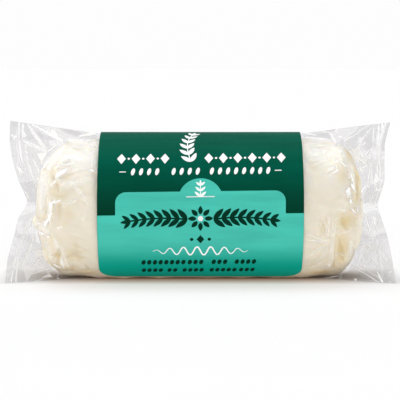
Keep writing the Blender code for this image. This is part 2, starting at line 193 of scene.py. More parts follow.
# Painted highlights of the film, as white triangles: three corners (x, z) and whiteness
SHINE_TRIANGLES = {
    -1: (
        (-44.4, 33.6, -41.5, 34.1, -43.3, 30.8, 1.0), (-51.4, 38.9, -49.7, 38.5, -50.6, 37.0, 0.9),
        (-50.3, 30.0, -48.8, 29.4, -49.5, 28.0, 0.9), (-48.8, 29.4, -48.3, 28.1, -49.5, 28.0, 0.8),
        (-48.0, 39.9, -47.0, 38.5, -48.1, 37.6, 0.9), (-47.7, 34.2, -46.6, 34.2, -47.2, 33.5, 0.7),
        (-38.0, 27.8, -37.9, 29.4, -35.0, 30.8, 1.0), (-38.0, 27.8, -35.0, 30.8, -35.2, 29.7, 1.0),
        (-47.5, 36.9, -45.0, 35.7, -47.8, 35.5, 0.5), (-39.7, 21.6, -38.4, 21.7, -39.2, 18.7, 1.0),
        (-40.0, 18.5, -38.6, 19.6, -39.4, 16.2, 1.0), (-41.3, 15.3, -39.7, 17.7, -40.5, 15.3, 0.9),
        (-42.2, 13.8, -40.9, 13.2, -41.8, 12.7, 0.9), (-44.0, 4.5, -43.0, 3.4, -44.7, 3.8, 0.8),
        (-42.7, 0.8, -40.7, 1.8, -39.8, 0.8, 0.9), (-51.6, 7.9, -50.8, 8.9, -50.1, 7.6, 0.6),
    ),
    1: (
        (47.6, 28.6, 48.9, 26.5, 47.4, 23.9, 1.0), (47.4, 23.3, 50.1, 24.4, 49.6, 23.0, 1.0),
        (33.6, 28.8, 35.9, 30.5, 36.3, 30.0, 1.0), (37.9, 24.7, 39.1, 26.0, 39.4, 23.6, 1.0),
        (38.0, 24.6, 39.4, 23.6, 38.3, 23.5, 0.9), (49.3, 40.5, 49.9, 40.2, 49.2, 39.1, 0.8),
        (47.2, 16.4, 48.8, 15.2, 48.2, 13.7, 1.0), (46.3, 18.7, 47.9, 19.5, 48.0, 18.8, 1.0),
        (43.2, 4.2, 45.6, 7.2, 45.0, 6.2, 1.0), (46.1, 5.5, 47.5, 3.7, 45.9, 4.8, 1.0),
        (44.2, 3.9, 46.1, 4.8, 45.9, 3.9, 1.0),
    ),
}
# Painted sheens: soft pale highlights of the tight film, in millimetres: from (x, z) to (x, z), half width
# and whiteness
SHEENS = {
    -1: (
        (-38.0, 33.2, -20.0, 32.6, 2.8, 0.5), (-37.7, 36.5, -22.0, 37.0, 1.2, 0.4),
        (-37.5, 26.0, -27.9, 28.2, 0.9, 0.32), (-38.5, 28.5, -33.2, 31.3, 0.5, 0.5),
        (-41.4, 30.5, -41.9, 18.0, 1.6, 0.6), (-39.6, 21.9, -39.6, 16.3, 0.6, 0.5),
        (-42.8, 16.0, -39.4, 13.2, 1.2, 0.55), (-36.9, 20.4, -31.6, 23.2, 0.6, 0.28),
        (-38.5, 12.9, -34.7, 2.8, 0.6, 0.28), (-37.5, 11.3, -35.3, 7.5, 0.45, 0.3),
        (-41.3, 12.9, -38.5, 4.4, 0.8, 0.32), (-31.0, 16.9, -29.7, 18.8, 0.3, 0.25),
        (-34.1, 27.0, -30.4, 23.2, 0.25, 0.4), (-30.4, 24.4, -29.9, 21.0, 0.5, 0.2),
    ),
    1: (
        (22.0, 35.7, 37.6, 34.8, 1.8, 0.25), (27.5, 32.6, 35.0, 33.5, 0.5, 0.3),
        (34.4, 14.7, 34.4, 4.4, 0.5, 0.34), (39.7, 12.2, 39.7, 6.6, 0.7, 0.32),
        (37.2, 26.0, 39.4, 22.3, 1.1, 0.32), (35.9, 21.0, 38.4, 18.8, 0.7, 0.34),
        (33.8, 12.2, 31.6, 19.1, 0.28, 0.3), (33.9, 12.2, 33.1, 18.5, 0.25, 0.26),
        (34.2, 12.2, 35.6, 18.5, 0.3, 0.3), (33.4, 11.9, 28.1, 10.7, 0.32, 0.28),
        (33.6, 11.3, 28.1, 7.2, 0.4, 0.28), (35.0, 32.6, 37.5, 32.9, 0.5, 0.3),
        (36.9, 37.0, 37.2, 33.5, 0.5, 0.26), (33.8, 10.7, 30.3, 4.7, 0.35, 0.22),
        (36.2, 8.2, 38.7, 7.5, 0.5, 0.3),
    ),
}
# Yellow spots of the cheese: (x, z, half width, half height, strength)
YELLOW_SPOTS = (
    (-38.7, 28.9, 1.1, 1.8, 0.41), (-35.2, 28.2, 1.0, 0.9, 0.36), (-38.0, 24.7, 1.9, 1.4, 0.36),
    (-37.8, 7.5, 1.3, 1.2, 0.75), (-38.6, 5.0, 1.4, 1.6, 0.52), (-35.4, 3.7, 2.7, 0.7, 0.75),
    (-29.8, 2.6, 3.2, 0.8, 0.68), (-34.6, 36.8, 1.0, 0.5, 0.41), (-40.6, 11.6, 1.4, 2.0, 0.23),
    (-36.4, 16.0, 1.4, 1.6, 0.23), (40.1, 33.8, 1.0, 1.7, 1.0), (41.9, 29.7, 0.9, 3.5, 1.0),
    (41.3, 23.8, 1.0, 2.7, 0.8), (37.3, 28.7, 1.3, 2.1, 0.5), (37.9, 17.1, 2.2, 2.3, 1.0),
    (37.0, 9.1, 1.9, 5.0, 0.95), (40.6, 17.4, 0.8, 2.6, 0.7), (31.9, 2.3, 3.7, 0.8, 1.0),
    (35.4, 4.8, 0.6, 1.5, 0.8), (32.0, 15.4, 0.5, 2.0, 0.6),
)
MILLIMETRE = 0.001
SHINE_EDGE = 0.22
SPOT_SOFTNESS = 0.8
SPOT_FRONT = (-0.004, 0.002)

# Crumpled facets of the film: where their corners may fall, and the far corners that close each net
CRUMPLE_X = (ROOT_X - 0.004, 0.060)
CRUMPLE_Z = (-0.006, 0.050)
CRUMPLE_TRIES = 3000
NET_X = (0.015, 0.070)
NET_Z = (-0.02, 0.06)
CORNER_MERGE = 1e-7
LEAST_AREA = 1e-14
LEAST_WIDTH = 1e-7
EDGE_SLACK = 1e-9

# Folds of the film: those along the named creases, and those pulled towards the pinch of the seal
FOLD_STRETCH = 1.1
FOLD_NARROWING = 0.6
PULL_X = (ROOT_X, 0.050)
PULL_Z = (0.001, 0.041)

# Soft random fields
RIPPLE_WAVES = 14
RIPPLE_SPREAD = (0.6, 1.5)


def smooth_step(value, low, high):
    """Rises softly from 0 at low to 1 at high."""
    share = np.clip((value - low) / (high - low), 0.0, 1.0)
    return share * share * (3.0 - 2.0 * share)


def curve_through(knots, share):
    """Points of a slightly rounded line through the knots, at shares of its length in knots from 0 to 1."""
    knots = np.asarray(knots, float)
    padded = np.vstack([2 * knots[0] - knots[1], knots, 2 * knots[-1] - knots[-2]])
    place = np.clip(share, 0.0, 1.0) * (len(knots) - 1)
    first = np.minimum(place.astype(int), len(knots) - 2)
    t = (place - first)[..., None]
    before, start, end, after = (padded[first + k] for k in range(4))
    bend = 2 * before - 5 * start + 4 * end - after
    twist = 3 * (start - end) + after - before
    curved = start + 0.5 * t * (end - before + t * (bend + t * twist))
    return SEAL_ROUNDING * curved + (1 - SEAL_ROUNDING) * (start + t * (end - start))


def ripples(places, seed, size):
    """A soft random field of about unit height over points in space, with waves of about this size."""
    rng = np.random.default_rng(seed)
    directions = rng.normal(size=(RIPPLE_WAVES, places.shape[-1]))
    directions /= np.linalg.norm(directions, axis=1, keepdims=True)
    waves = directions * (2 * math.pi / size) * rng.uniform(*RIPPLE_SPREAD, (RIPPLE_WAVES, 1))
    turns = rng.uniform(0, 2 * math.pi, RIPPLE_WAVES)
    return np.sin(places @ waves.T + turns).sum(-1) / math.sqrt(RIPPLE_WAVES / 2)


def spindles(x, z, folds):
    """Height of creases that narrow to both ends, each (x, z, turn, half length, half width, height)."""
    total = np.zeros_like(x)
    for at_x, at_z, turn, half_length, half_width, height in folds:
        run = (x - at_x) * math.cos(turn) + (z - at_z) * math.sin(turn)
        across = (z - at_z) * math.cos(turn) - (x - at_x) * math.sin(turn)
        taper = np.clip(1.0 - (run / half_length) ** 2, 0.0, 1.0)
        reach = np.maximum(half_width * taper, LEAST_WIDTH)
        total += height * taper * np.clip(1.0 - np.abs(across) / reach, 0.0, 1.0)
    return total


def crumple_net(corners):
    """Flat triangles between corners, each (x, z, height): places, heights, triangles and edges."""
    corners = np.asarray(corners, float)
    flat = [Vector((corner[0], corner[1])) for corner in corners]
    points, edges, triangles, origins, _, _ = delaunay_2d_cdt(flat, [], [], 0, CORNER_MERGE)
    places = np.array([tuple(point) for point in points])
    heights = np.array([corners[origin[0]][2] for origin in origins])
    return places, heights, [tuple(triangle) for triangle in triangles], [tuple(edge) for edge in edges]


def net_height(x, z, net, values=None):
    """Height over (x, z) of the flat triangles of a net, and for each place the value of its triangle."""
    places, heights, triangles, _ = net
    height = np.zeros_like(x)
    value = np.zeros_like(x)
    for number, triangle in enumerate(triangles):
        (ax, az), (bx, bz), (cx, cz) = places[list(triangle)]
        area = (bx - ax) * (cz - az) - (cx - ax) * (bz - az)
        if abs(area) < LEAST_AREA:
            continue
        u = ((x - ax) * (cz - az) - (cx - ax) * (z - az)) / area
        v = ((bx - ax) * (z - az) - (x - ax) * (bz - az)) / area
        inside = (u >= -EDGE_SLACK) & (v >= -EDGE_SLACK) & (u + v <= 1 + EDGE_SLACK)
        a, b, c = heights[list(triangle)]
        height = np.where(inside, a + u * (b - a) + v * (c - a), height)
        if values is not None:
            value = np.where(inside, values[number], value)
    return height, value


def net_lines(net, rng, width, share, strength):
    """A share of the edges of a net as fine creases, each (x, z, x, z, half width, strength)."""
    places, _, _, edges = net
    kept = [edge for edge in edges if rng.uniform() < share]
    return [(*places[a], *places[b], width, rng.uniform(*strength)) for a, b in kept]


def crease_and_sheen_mask(x, z, lines):
    """How much soft lines that fade to both ends whiten the film at (x, z): fine creases that scatter
    light, and painted sheens.
    """
    total = np.zeros_like(x)
    for ax, az, bx, bz, half_width, strength in lines:
        dx, dz = bx - ax, bz - az
        run = np.clip(((x - ax) * dx + (z - az) * dz) / (dx * dx + dz * dz), 0.0, 1.0)
        gap = np.hypot(x - ax - run * dx, z - az - run * dz)
        fade = np.sin(math.pi * run) ** 0.5
        total = np.maximum(total, strength * fade * np.exp(-((gap / half_width) ** 2)))
    return total


def scattered_corners(rng, end, spacing, height, kept=()):
    """Corners of crumpled facets over one film end, a least distance apart, at random heights."""
    kept = list(kept)
    for _ in range(CRUMPLE_TRIES):
        x = end * rng.uniform(*CRUMPLE_X)
        z = rng.uniform(*CRUMPLE_Z)
        if all((x - other[0]) ** 2 + (z - other[1]) ** 2 > spacing**2 for other in kept):
            kept.append((x, z, rng.uniform(-height, height)))
    return kept + [(end * x, z, 0.0) for x in NET_X for z in NET_Z]


def long_folds(end):
    """The long creases of one film end as folds."""
    folds = []
    for row in CREASES[end]:
        ax, az, bx, bz, width, height = (MILLIMETRE * value for value in row)
        turn = math.atan2(bz - az, bx - ax)
        half_length = 0.5 * FOLD_STRETCH * math.hypot(bx - ax, bz - az)
        folds.append((0.5 * (ax + bx), 0.5 * (az + bz), turn, half_length, FOLD_NARROWING * width, height))
    return folds


def shine_mask(end, x, z):
    """The painted highlights of one film end at (x, z): its white streaks and triangles."""
    x, z = x / MILLIMETRE, z / MILLIMETRE
    total = np.zeros_like(x)
    for ax, az, bx, bz, half_width, white in SHINES[end]:
        length = math.hypot(bx - ax, bz - az)
        run = ((x - ax) * (bx - ax) + (z - az) * (bz - az)) / length**2
        across = np.abs((z - az) * (bx - ax) - (x - ax) * (bz - az)) / length
        reach = half_width * np.sqrt(np.clip(1.0 - (2.0 * run - 1.0) ** 2, 0.0, 1.0))
        covered = np.clip((reach - across) / SHINE_EDGE + 0.5, 0.0, 1.0) * (reach > 0)
        total = np.maximum(total, white * covered)
    for *corners, white in SHINE_TRIANGLES[end]:
        a, b, c = np.array(corners).reshape(3, 2)
        turn = math.copysign(1.0, (b[0] - a[0]) * (c[1] - a[1]) - (c[0] - a[0]) * (b[1] - a[1]))
        inside = np.full_like(x, np.inf)
        for p, q in ((a, b), (b, c), (c, a)):
            edge = ((q[0] - p[0]) * (z - p[1]) - (q[1] - p[1]) * (x - p[0])) / math.dist(p, q)
            inside = np.minimum(inside, turn * edge)
        total = np.maximum(total, white * np.clip(inside / SHINE_EDGE + 0.5, 0.0, 1.0))
    return total


def yellow_share(places):
    """How yellow the front of the cheese is at points in space."""
    total = np.zeros(places.shape[:-1])
    for x, z, half_width, half_height, strength in YELLOW_SPOTS:
        across = (places[..., 0] / MILLIMETRE - x) / half_width
        up = (places[..., 2] / MILLIMETRE - z) / half_height
        total = np.maximum(total, strength * np.exp(-SPOT_SOFTNESS * (across**2 + up**2)))
    return total * smooth_step(-places[..., 1], *SPOT_FRONT)


def pulled_folds(rng, end, count, length, width, height, spread):
    """Wrinkles that run from the label towards the pinch in the middle of the seal."""
    pinch = SEAL_EDGE[end][4]
    rows = []
    for _ in range(count):
        x = end * rng.uniform(*PULL_X)
        z = rng.uniform(*PULL_Z)
        turn = math.atan2(pinch[2] - z, pinch[0] - x) + rng.uniform(-spread, spread)
        rows.append((x, z, turn, rng.uniform(*length), rng.uniform(*width), rng.uniform(*height)))
    return rows


# The soft cheese

# Lumps and dents of the cheese at its ends, as (x, y, z, radius, height)
NAMED_LUMPS = (
    (-0.0445, -0.0040, 0.0150, 0.0030, 0.0014), (-0.0400, -0.0090, 0.0060, 0.0034, 0.0010),
    (-0.0440, -0.0030, 0.0085, 0.0060, -0.0022), (-0.0440, 0.0060, 0.0080, 0.0060, -0.0016),
    (-0.0370, -0.0120, 0.0040, 0.0030, 0.0007), (0.0400, -0.0110, 0.0120, 0.0040, 0.0008),
    (0.0410, -0.0080, 0.0270, 0.0040, 0.0006), (0.0380, -0.0120, 0.0060, 0.0030, 0.0007),
    (0.0440, 0.0000, 0.0185, 0.0040, -0.0012), (-0.0418, -0.0010, 0.0338, 0.0058, -0.0022),
    (-0.0425, 0.0000, 0.0055, 0.0046, -0.0012), (0.0437, 0.0000, 0.0115, 0.0060, -0.0011),
)
LUMP_SEED = 12
LUMPS_PER_END = 44
LUMP_SLOPE = (0.05, 1.35)
LUMP_INSET = 0.005
LUMP_RADIUS = (0.0020, 0.0045)
LUMP_HEIGHT = (-0.0006, 0.0007)
LUMP_SOFTNESS = 1.6

# Slow waves all over the cheese, as (height, seed, size)
SOFT_WAVES = ((0.00010, 3, 0.0075), (0.00005, 4, 0.0032))

# Ridges in the front of the cheese, in millimetres: from (x, z) to (x, z), half width and height
RIDGES = (
    (33.4, 12.4, 30.4, 18.2, 0.5, 0.45), (33.5, 12.4, 31.9, 19.0, 0.5, 0.4),
    (33.6, 12.6, 33.1, 19.2, 0.45, 0.4), (33.8, 12.6, 34.6, 18.6, 0.5, 0.4),
    (34.0, 11.6, 28.4, 9.6, 0.5, 0.32), (34.6, 17.6, 34.9, 6.0, 0.7, 0.72),
    (36.6, 18.0, 38.9, 14.0, 0.8, -0.8), (36.4, 12.0, 37.8, 5.0, 1.0, -0.88),
    (39.8, 33.0, 40.6, 22.0, 0.6, 0.64), (41.0, 31.4, 41.8, 21.0, 0.6, -0.72),
    (-38.4, 30.6, -34.2, 33.0, 0.7, 0.56), (-36.6, 28.0, -31.0, 29.6, 0.8, -0.4),
    (-38.8, 29.6, -37.0, 24.8, 1.0, -0.8), (-39.0, 22.8, -38.9, 15.6, 0.8, 0.8),
    (-37.2, 23.6, -36.8, 17.0, 1.0, -0.56), (-39.0, 14.0, -36.6, 8.6, 0.8, 0.64),
    (-37.0, 10.0, -37.8, 4.6, 0.9, -0.8), (-35.8, 7.6, -34.4, 3.2, 0.7, 0.64),
    (-41.4, 27.0, -40.6, 16.0, 0.7, -0.56), (-33.0, 34.2, -28.8, 34.8, 0.6, 0.29),
    (31.0, 12.6, 32.3, 18.4, 0.5, -0.35), (32.6, 12.8, 32.6, 19.4, 0.4, -0.35),
    (27.6, 12.4, 33.2, 11.8, 0.5, 0.3), (27.6, 9.0, 33.0, 11.2, 0.5, -0.3),
    (28.0, 6.4, 33.6, 10.2, 0.6, 0.3), (27.8, 3.8, 33.4, 7.2, 0.6, -0.35),
    (-27.8, 20.0, -33.8, 23.0, 0.7, 0.3), (-27.8, 16.6, -35.6, 15.2, 0.6, -0.3),
    (-28.2, 12.4, -36.2, 14.0, 0.6, 0.3), (-27.8, 8.2, -34.8, 11.4, 0.6, -0.3),
    (-28.0, 33.0, -36.0, 36.4, 0.7, -0.3), (28.0, 34.8, 35.6, 36.6, 0.7, -0.3),
    (27.8, 30.4, 36.4, 33.0, 0.7, 0.3),
)
RIDGE_SHARE = 0.6
FOLD_SEED = 23
FOLDS_PER_END = 84
FOLD_X = (0.0285, 0.0440)
FOLD_LEAN = 0.6
FOLD_CROSSWISE = 0.4
FOLD_LENGTH = (0.0015, 0.0045)
FOLD_WIDTH = (0.0005, 0.0012)
FOLD_HEIGHT = (-0.00042, 0.00038)


def way_round(height, depth):
    """Distance round the log upwards from the front's middle line."""
    return SHOULDER_RADIUS * np.arctan2(height, depth)


def front_height(z):
    """Distance round the log of a height on its front."""
    rise = z - CHEESE_AXIS
    return way_round(rise, math.sqrt(max(SHOULDER_RADIUS**2 - rise**2, 0)))


def cheese_folds():
    """Soft folds that the bag presses into the cheese: named ridges, and random ones round both ends."""
    rng = np.random.default_rng(FOLD_SEED)
    rows = []
    for row in RIDGES:
        ax, az, bx, bz, width, height = (MILLIMETRE * value for value in row)
        low, high = front_height(az), front_height(bz)
        turn = math.atan2(high - low, bx - ax)
        reach = RIDGE_SHARE * math.hypot(bx - ax, high - low)
        rows.append((0.5 * (ax + bx), 0.5 * (low + high), turn, reach, width, height))
    for end in (-1, 1):
        for _ in range(FOLDS_PER_END):
            x = end * rng.uniform(*FOLD_X)
            around = SHOULDER_RADIUS * rng.uniform(-math.pi, math.pi)
            turn = rng.uniform(-FOLD_LEAN, FOLD_LEAN)
            turn += math.pi / 2 if rng.uniform() < FOLD_CROSSWISE else 0.0
            size = rng.uniform(*FOLD_LENGTH), rng.uniform(*FOLD_WIDTH)
            rows.append((x, around, turn, *size, rng.uniform(*FOLD_HEIGHT)))
    return rows


def end_lumps():
    """All lumps of the cheese, the named ones and small random ones round both ends, and its folds."""
    rng = np.random.default_rng(LUMP_SEED)
    rows = list(NAMED_LUMPS)
    for end in (-1, 1):
        for _ in range(LUMPS_PER_END):
            turn = rng.uniform(0, 2 * math.pi)
            slope = rng.uniform(*LUMP_SLOPE)
            radius = SHOULDER_RADIUS * math.cos(slope)
            x = end * (SHOULDER_X + END_DEPTH[end] * math.sin(slope) - rng.uniform(0, LUMP_INSET))
            place = x, radius * math.cos(turn), CHEESE_AXIS + radius * math.sin(turn)
            rows.append((*place, rng.uniform(*LUMP_RADIUS), rng.uniform(*LUMP_HEIGHT)))
    return np.array(rows), cheese_folds()


def lump_height(places, lumps):
    """How far the lumps, folds and soft waves of the cheese stand out at points in space."""
    rows, folds = lumps
    total = sum(height * ripples(places, seed, size) for height, seed, size in SOFT_WAVES)
    around = way_round(places[..., 2] - CHEESE_AXIS, -places[..., 1])
    total = total + spindles(places[..., 0], around, folds)
    for x, y, z, radius, height in rows:
        distance = ((places - (x, y, z)) ** 2).sum(-1) / radius**2
        total = total + height * np.exp(-LUMP_SOFTNESS * distance)
    return total


def log_radius(x, end_depth):
    """Radius of the bare log at a distance along it, without its lumps."""
    reach = np.abs(x)
    waist = smooth_step(reach, WAIST_X, SHOULDER_X)
    radius = SEAT_RADIUS + (SHOULDER_RADIUS - SEAT_RADIUS) * waist
    past = np.clip((reach - SHOULDER_X) / end_depth, 0.0, 1.0)
    return radius * (1.0 - past**END_SQUARENESS) ** (1 / END_SQUARENESS)


def cheese_half_depth(end, x, z, side, lumps):
    """How far the cheese reaches from the pack's middle plane at (x, z), below zero outside it."""
    radius = log_radius(x, END_DEPTH[end])
    height = z - CHEESE_AXIS
    depth = CHEESE_SPREAD * np.sqrt(np.maximum(radius**2 - height**2, 0.0))
    places = np.stack([x, side * depth, z], -1)
    inside = (radius + lump_height(places, lumps)) ** 2 - height**2
    outside = OUTSIDE_STEEPNESS * np.sqrt(np.maximum(-inside, 0))
    return CHEESE_SPREAD * np.where(inside > 0, np.sqrt(np.maximum(inside, 0)), -outside)


def grid_faces(rows, columns, wrap=False):
    """Quads between the points of a grid that is stored row by row."""
    faces = []
    for row in range(rows - 1):
        for column in range(columns if wrap else columns - 1):
            a = row * columns + column
            b = row * columns + (column + 1) % columns
            faces.append((a, b, b + columns, a + columns))
    return faces


def show(name, data):
    """A new object of the scene with this mesh, light or camera."""
    shown = bpy.data.objects.new(name, data)
    bpy.context.scene.collection.objects.link(shown)
    return shown


def new_piece(name, points, faces, material, smooth=True):
    mesh = bpy.data.meshes.new(name)
    mesh.from_pydata(np.asarray(points).reshape(-1, 3).tolist(), [], faces)
    mesh.materials.append(material)
    mesh.polygons.foreach_set("use_smooth", [smooth] * len(mesh.polygons))
    mesh.update()
    return show(name, mesh)


def store_values(piece, values):
    """Keeps named values at the points of a piece, for its material."""
    for name, value in values.items():
        piece.data.attributes.new(name, "FLOAT", "POINT").data.foreach_set("value", value.ravel())


CHEESE_AROUND = 340
CHEESE_END_RINGS = 64
CHEESE_SIDE_X = (0.0340, 0.0260)
CHEESE_SIDE_RINGS = 26
CHEESE_MIDDLE_X = 0.0250
CHEESE_MIDDLE_RINGS = 12
CHEESE_SHRINK = 0.00012
CHEESE_FLOOR_GAP = 0.0002
RELIEF_UNIT = 0.0006


def cheese_rings():
    """Distances along the log and radii of the rings of the cheese, from its left tip to its right tip."""
    slopes = np.linspace(math.pi / 2, 0, CHEESE_END_RINGS, endpoint=False)
    beside = np.linspace(*CHEESE_SIDE_X, CHEESE_SIDE_RINGS)
    middle = np.linspace(-CHEESE_MIDDLE_X, CHEESE_MIDDLE_X, CHEESE_MIDDLE_RINGS)
    body = np.concatenate([-beside, middle, beside[::-1]])
    left = -(SHOULDER_X + END_DEPTH[-1] * np.sin(slopes))
    right = (SHOULDER_X + END_DEPTH[1] * np.sin(slopes))[::-1]
    x = np.concatenate([left, body, right])
    radius = np.where(x < 0, log_radius(x, END_DEPTH[-1]), log_radius(x, END_DEPTH[1]))
    return x, np.maximum(radius, 0.0)


def cheese_mesh(material):
    """The cheese log: rings along it with their lumps and folds, closed at both tips."""
    x, radius = cheese_rings()
    turns = np.linspace(0, 2 * math.pi, CHEESE_AROUND, endpoint=False)
    lumps = end_lumps()
    depth = np.where(x < 0, END_DEPTH[-1], END_DEPTH[1])
    past = np.clip((np.abs(x) - SHOULDER_X) / depth, 0, 1)
    steep = END_SQUARENESS - 1
    flare = np.sign(x) * past**steep / depth
    rise = (np.minimum(radius / SHOULDER_RADIUS, 1.0) ** steep / SHOULDER_RADIUS)[1:-1, None]
    normal = np.stack([flare[1:-1, None] + 0 * turns, -rise * np.cos(turns), rise * np.sin(turns)], -1)
    normal /= np.linalg.norm(normal, axis=-1, keepdims=True)
    inner = x[1:-1, None] + 0 * turns
    y = -CHEESE_SPREAD * radius[1:-1, None] * np.cos(turns)
    z = radius[1:-1, None] * np.sin(turns)
    points = np.stack([inner, y, z + CHEESE_AXIS], -1)
    relief = lump_height(points, lumps)
    points = points + normal * (relief - CHEESE_SHRINK)[..., None]
    points[..., 2] = np.maximum(points[..., 2], CHEESE_FLOOR_GAP)
    rows = len(x) - 2
    tips = np.array([[x[0] + CHEESE_SHRINK, 0, CHEESE_AXIS], [x[-1] - CHEESE_SHRINK, 0, CHEESE_AXIS]])
    tip_relief = lump_height(tips, lumps)
    tips[:, 0] += np.array([-1, 1]) * tip_relief
    faces = grid_faces(rows, CHEESE_AROUND, wrap=True)
    first_tip = rows * CHEESE_AROUND
    last = (rows - 1) * CHEESE_AROUND
    for column in range(CHEESE_AROUND):
        after = (column + 1) % CHEESE_AROUND
        faces.append((column, first_tip, after))
        faces.append((last + after, first_tip + 1, last + column))
    points = np.concatenate([points.reshape(-1, 3), tips])
    cheese = new_piece("cheese", points, [tuple(reversed(face)) for face in faces], material)
    relief = np.concatenate([relief.ravel(), tip_relief]) / RELIEF_UNIT
    store_values(cheese, {"relief": relief, "yellow": yellow_share(points)})
    return cheese


# The film

FILM_ROWS = 104
FILM_COLUMNS = 214
FILM_LAYER = 0.00012
FILM_FLOOR_GAP = 0.00005
FILM_MIDDLE_X = (-0.0270, -0.0200, -0.0070, 0.0070, 0.0200, 0.0270)
FILM_SEED = {-1: 171, 1: 174}
LEAST_GAP = 0.00004
START_REACH = 0.006
BAND_EDGE = (-0.001, 0.0005)
BAND_FLATNESS = 0.35
AWAY_SHARE = (0.30, 0.70)
CONTACT_SOFTNESS = 0.0010
LOOSE_GAP = (0.0007, 0.0034)

# Facets as (spacing of their corners, height): large and small ones of both layers, and each layer's own
LARGE_FACETS = (0.0058, 0.0011)
SMALL_FACETS = (0.0031, 0.00006)
OWN_FACETS = (0.0056, 0.0010)
CROSSING_HEIGHT = 0.0010
OPEN_SHARE = 0.45
OPEN_GAP = 0.0012
LOOSE_PULLS = {
    "count": 12,
    "length": (0.004, 0.009),
    "width": (0.0006, 0.0014),
    "height": (-0.0006, 0.0006),
    "spread": 0.8,
}
TIGHT_PULLS = {
    "count": 26,
    "length": (0.003, 0.008),
    "width": (0.0005, 0.0012),
    "height": (0.00010, 0.00038),
    "spread": 0.7,
}
WRINKLE_HEIGHT = 0.00005
WRINKLE_SIZE = 0.0030
WRINKLE_SEED = 9

# How white the film's facets are, and its edge lines as (half width, share of the edges, whiteness)
# The facet whiteness is painted: a random painted shading of each large facet, and painted glints on a
# share of the small ones
PAINTED_FACET_SHADING = 0.16
GLINT_SHARE = 0.035
GLINT_WHITE = (0.3, 0.9)
EDGE_LINES = (0.00015, 0.35, (0.08, 0.28))
BACK_CREASE = 0.5

# Streaks along the flat seal
STREAK_SEED = 90
STREAK_COUNT = 9
STREAK_INSET = (0.0004, 1.25 * SEAL_BAND)
STREAK_LOW = (-0.006, 0.032)
STREAK_LENGTH = (0.006, 0.020)
STREAK_FADE = 0.003
STREAK_WIDTH = 0.00026
STREAK_SHARES = (0.6, 1.6)
STREAK_WHITE = (0.4, 0.9)


def band_streaks(end, along, reach, z):
    """Streaks that run along the flat seal, each beside its edge and over a stretch of its height."""
    rng = np.random.default_rng(STREAK_SEED + end)
    total = np.zeros_like(along)
    for _ in range(STREAK_COUNT):
        inset = reach - rng.uniform(*STREAK_INSET)
        low = rng.uniform(*STREAK_LOW)
        high = low + rng.uniform(*STREAK_LENGTH)
        window = smooth_step(z, low, low + STREAK_FADE) * (1 - smooth_step(z, high - STREAK_FADE, high))
        streak = np.exp(-(((along - inset) / (STREAK_WIDTH * rng.uniform(*STREAK_SHARES))) ** 2))
        total = np.maximum(total, rng.uniform(*STREAK_WHITE) * window * streak)
    return total


def shared_crumple(rng, end, x, z, in_band):
    """Height of a film end's shared crumples, and their creases, painted facet shading and painted glints.
    """
    crossings = [
        (MILLIMETRE * ax, MILLIMETRE * az, rng.uniform(-CROSSING_HEIGHT, CROSSING_HEIGHT))
        for ax, az, *_ in CREASES[end][::2]
    ]
    large = crumple_net(scattered_corners(rng, end, *LARGE_FACETS, crossings))
    small = crumple_net(scattered_corners(rng, end, *SMALL_FACETS))
    haze = rng.uniform(0.0, PAINTED_FACET_SHADING, len(large[2]))
    white = rng.uniform(*GLINT_WHITE, len(small[2])) * (rng.uniform(size=len(small[2])) < GLINT_SHARE)
    large_height, painted_facet_shading = net_height(x, z, large, haze)
    small_height, painted_glints = net_height(x, z, small, white)
    height = large_height + small_height + spindles(x, z, long_folds(end))
    lines = crease_and_sheen_mask(x, z, net_lines(large, rng, *EDGE_LINES))
    return height, np.maximum.reduce([lines, painted_facet_shading, painted_glints * (1 - in_band)])


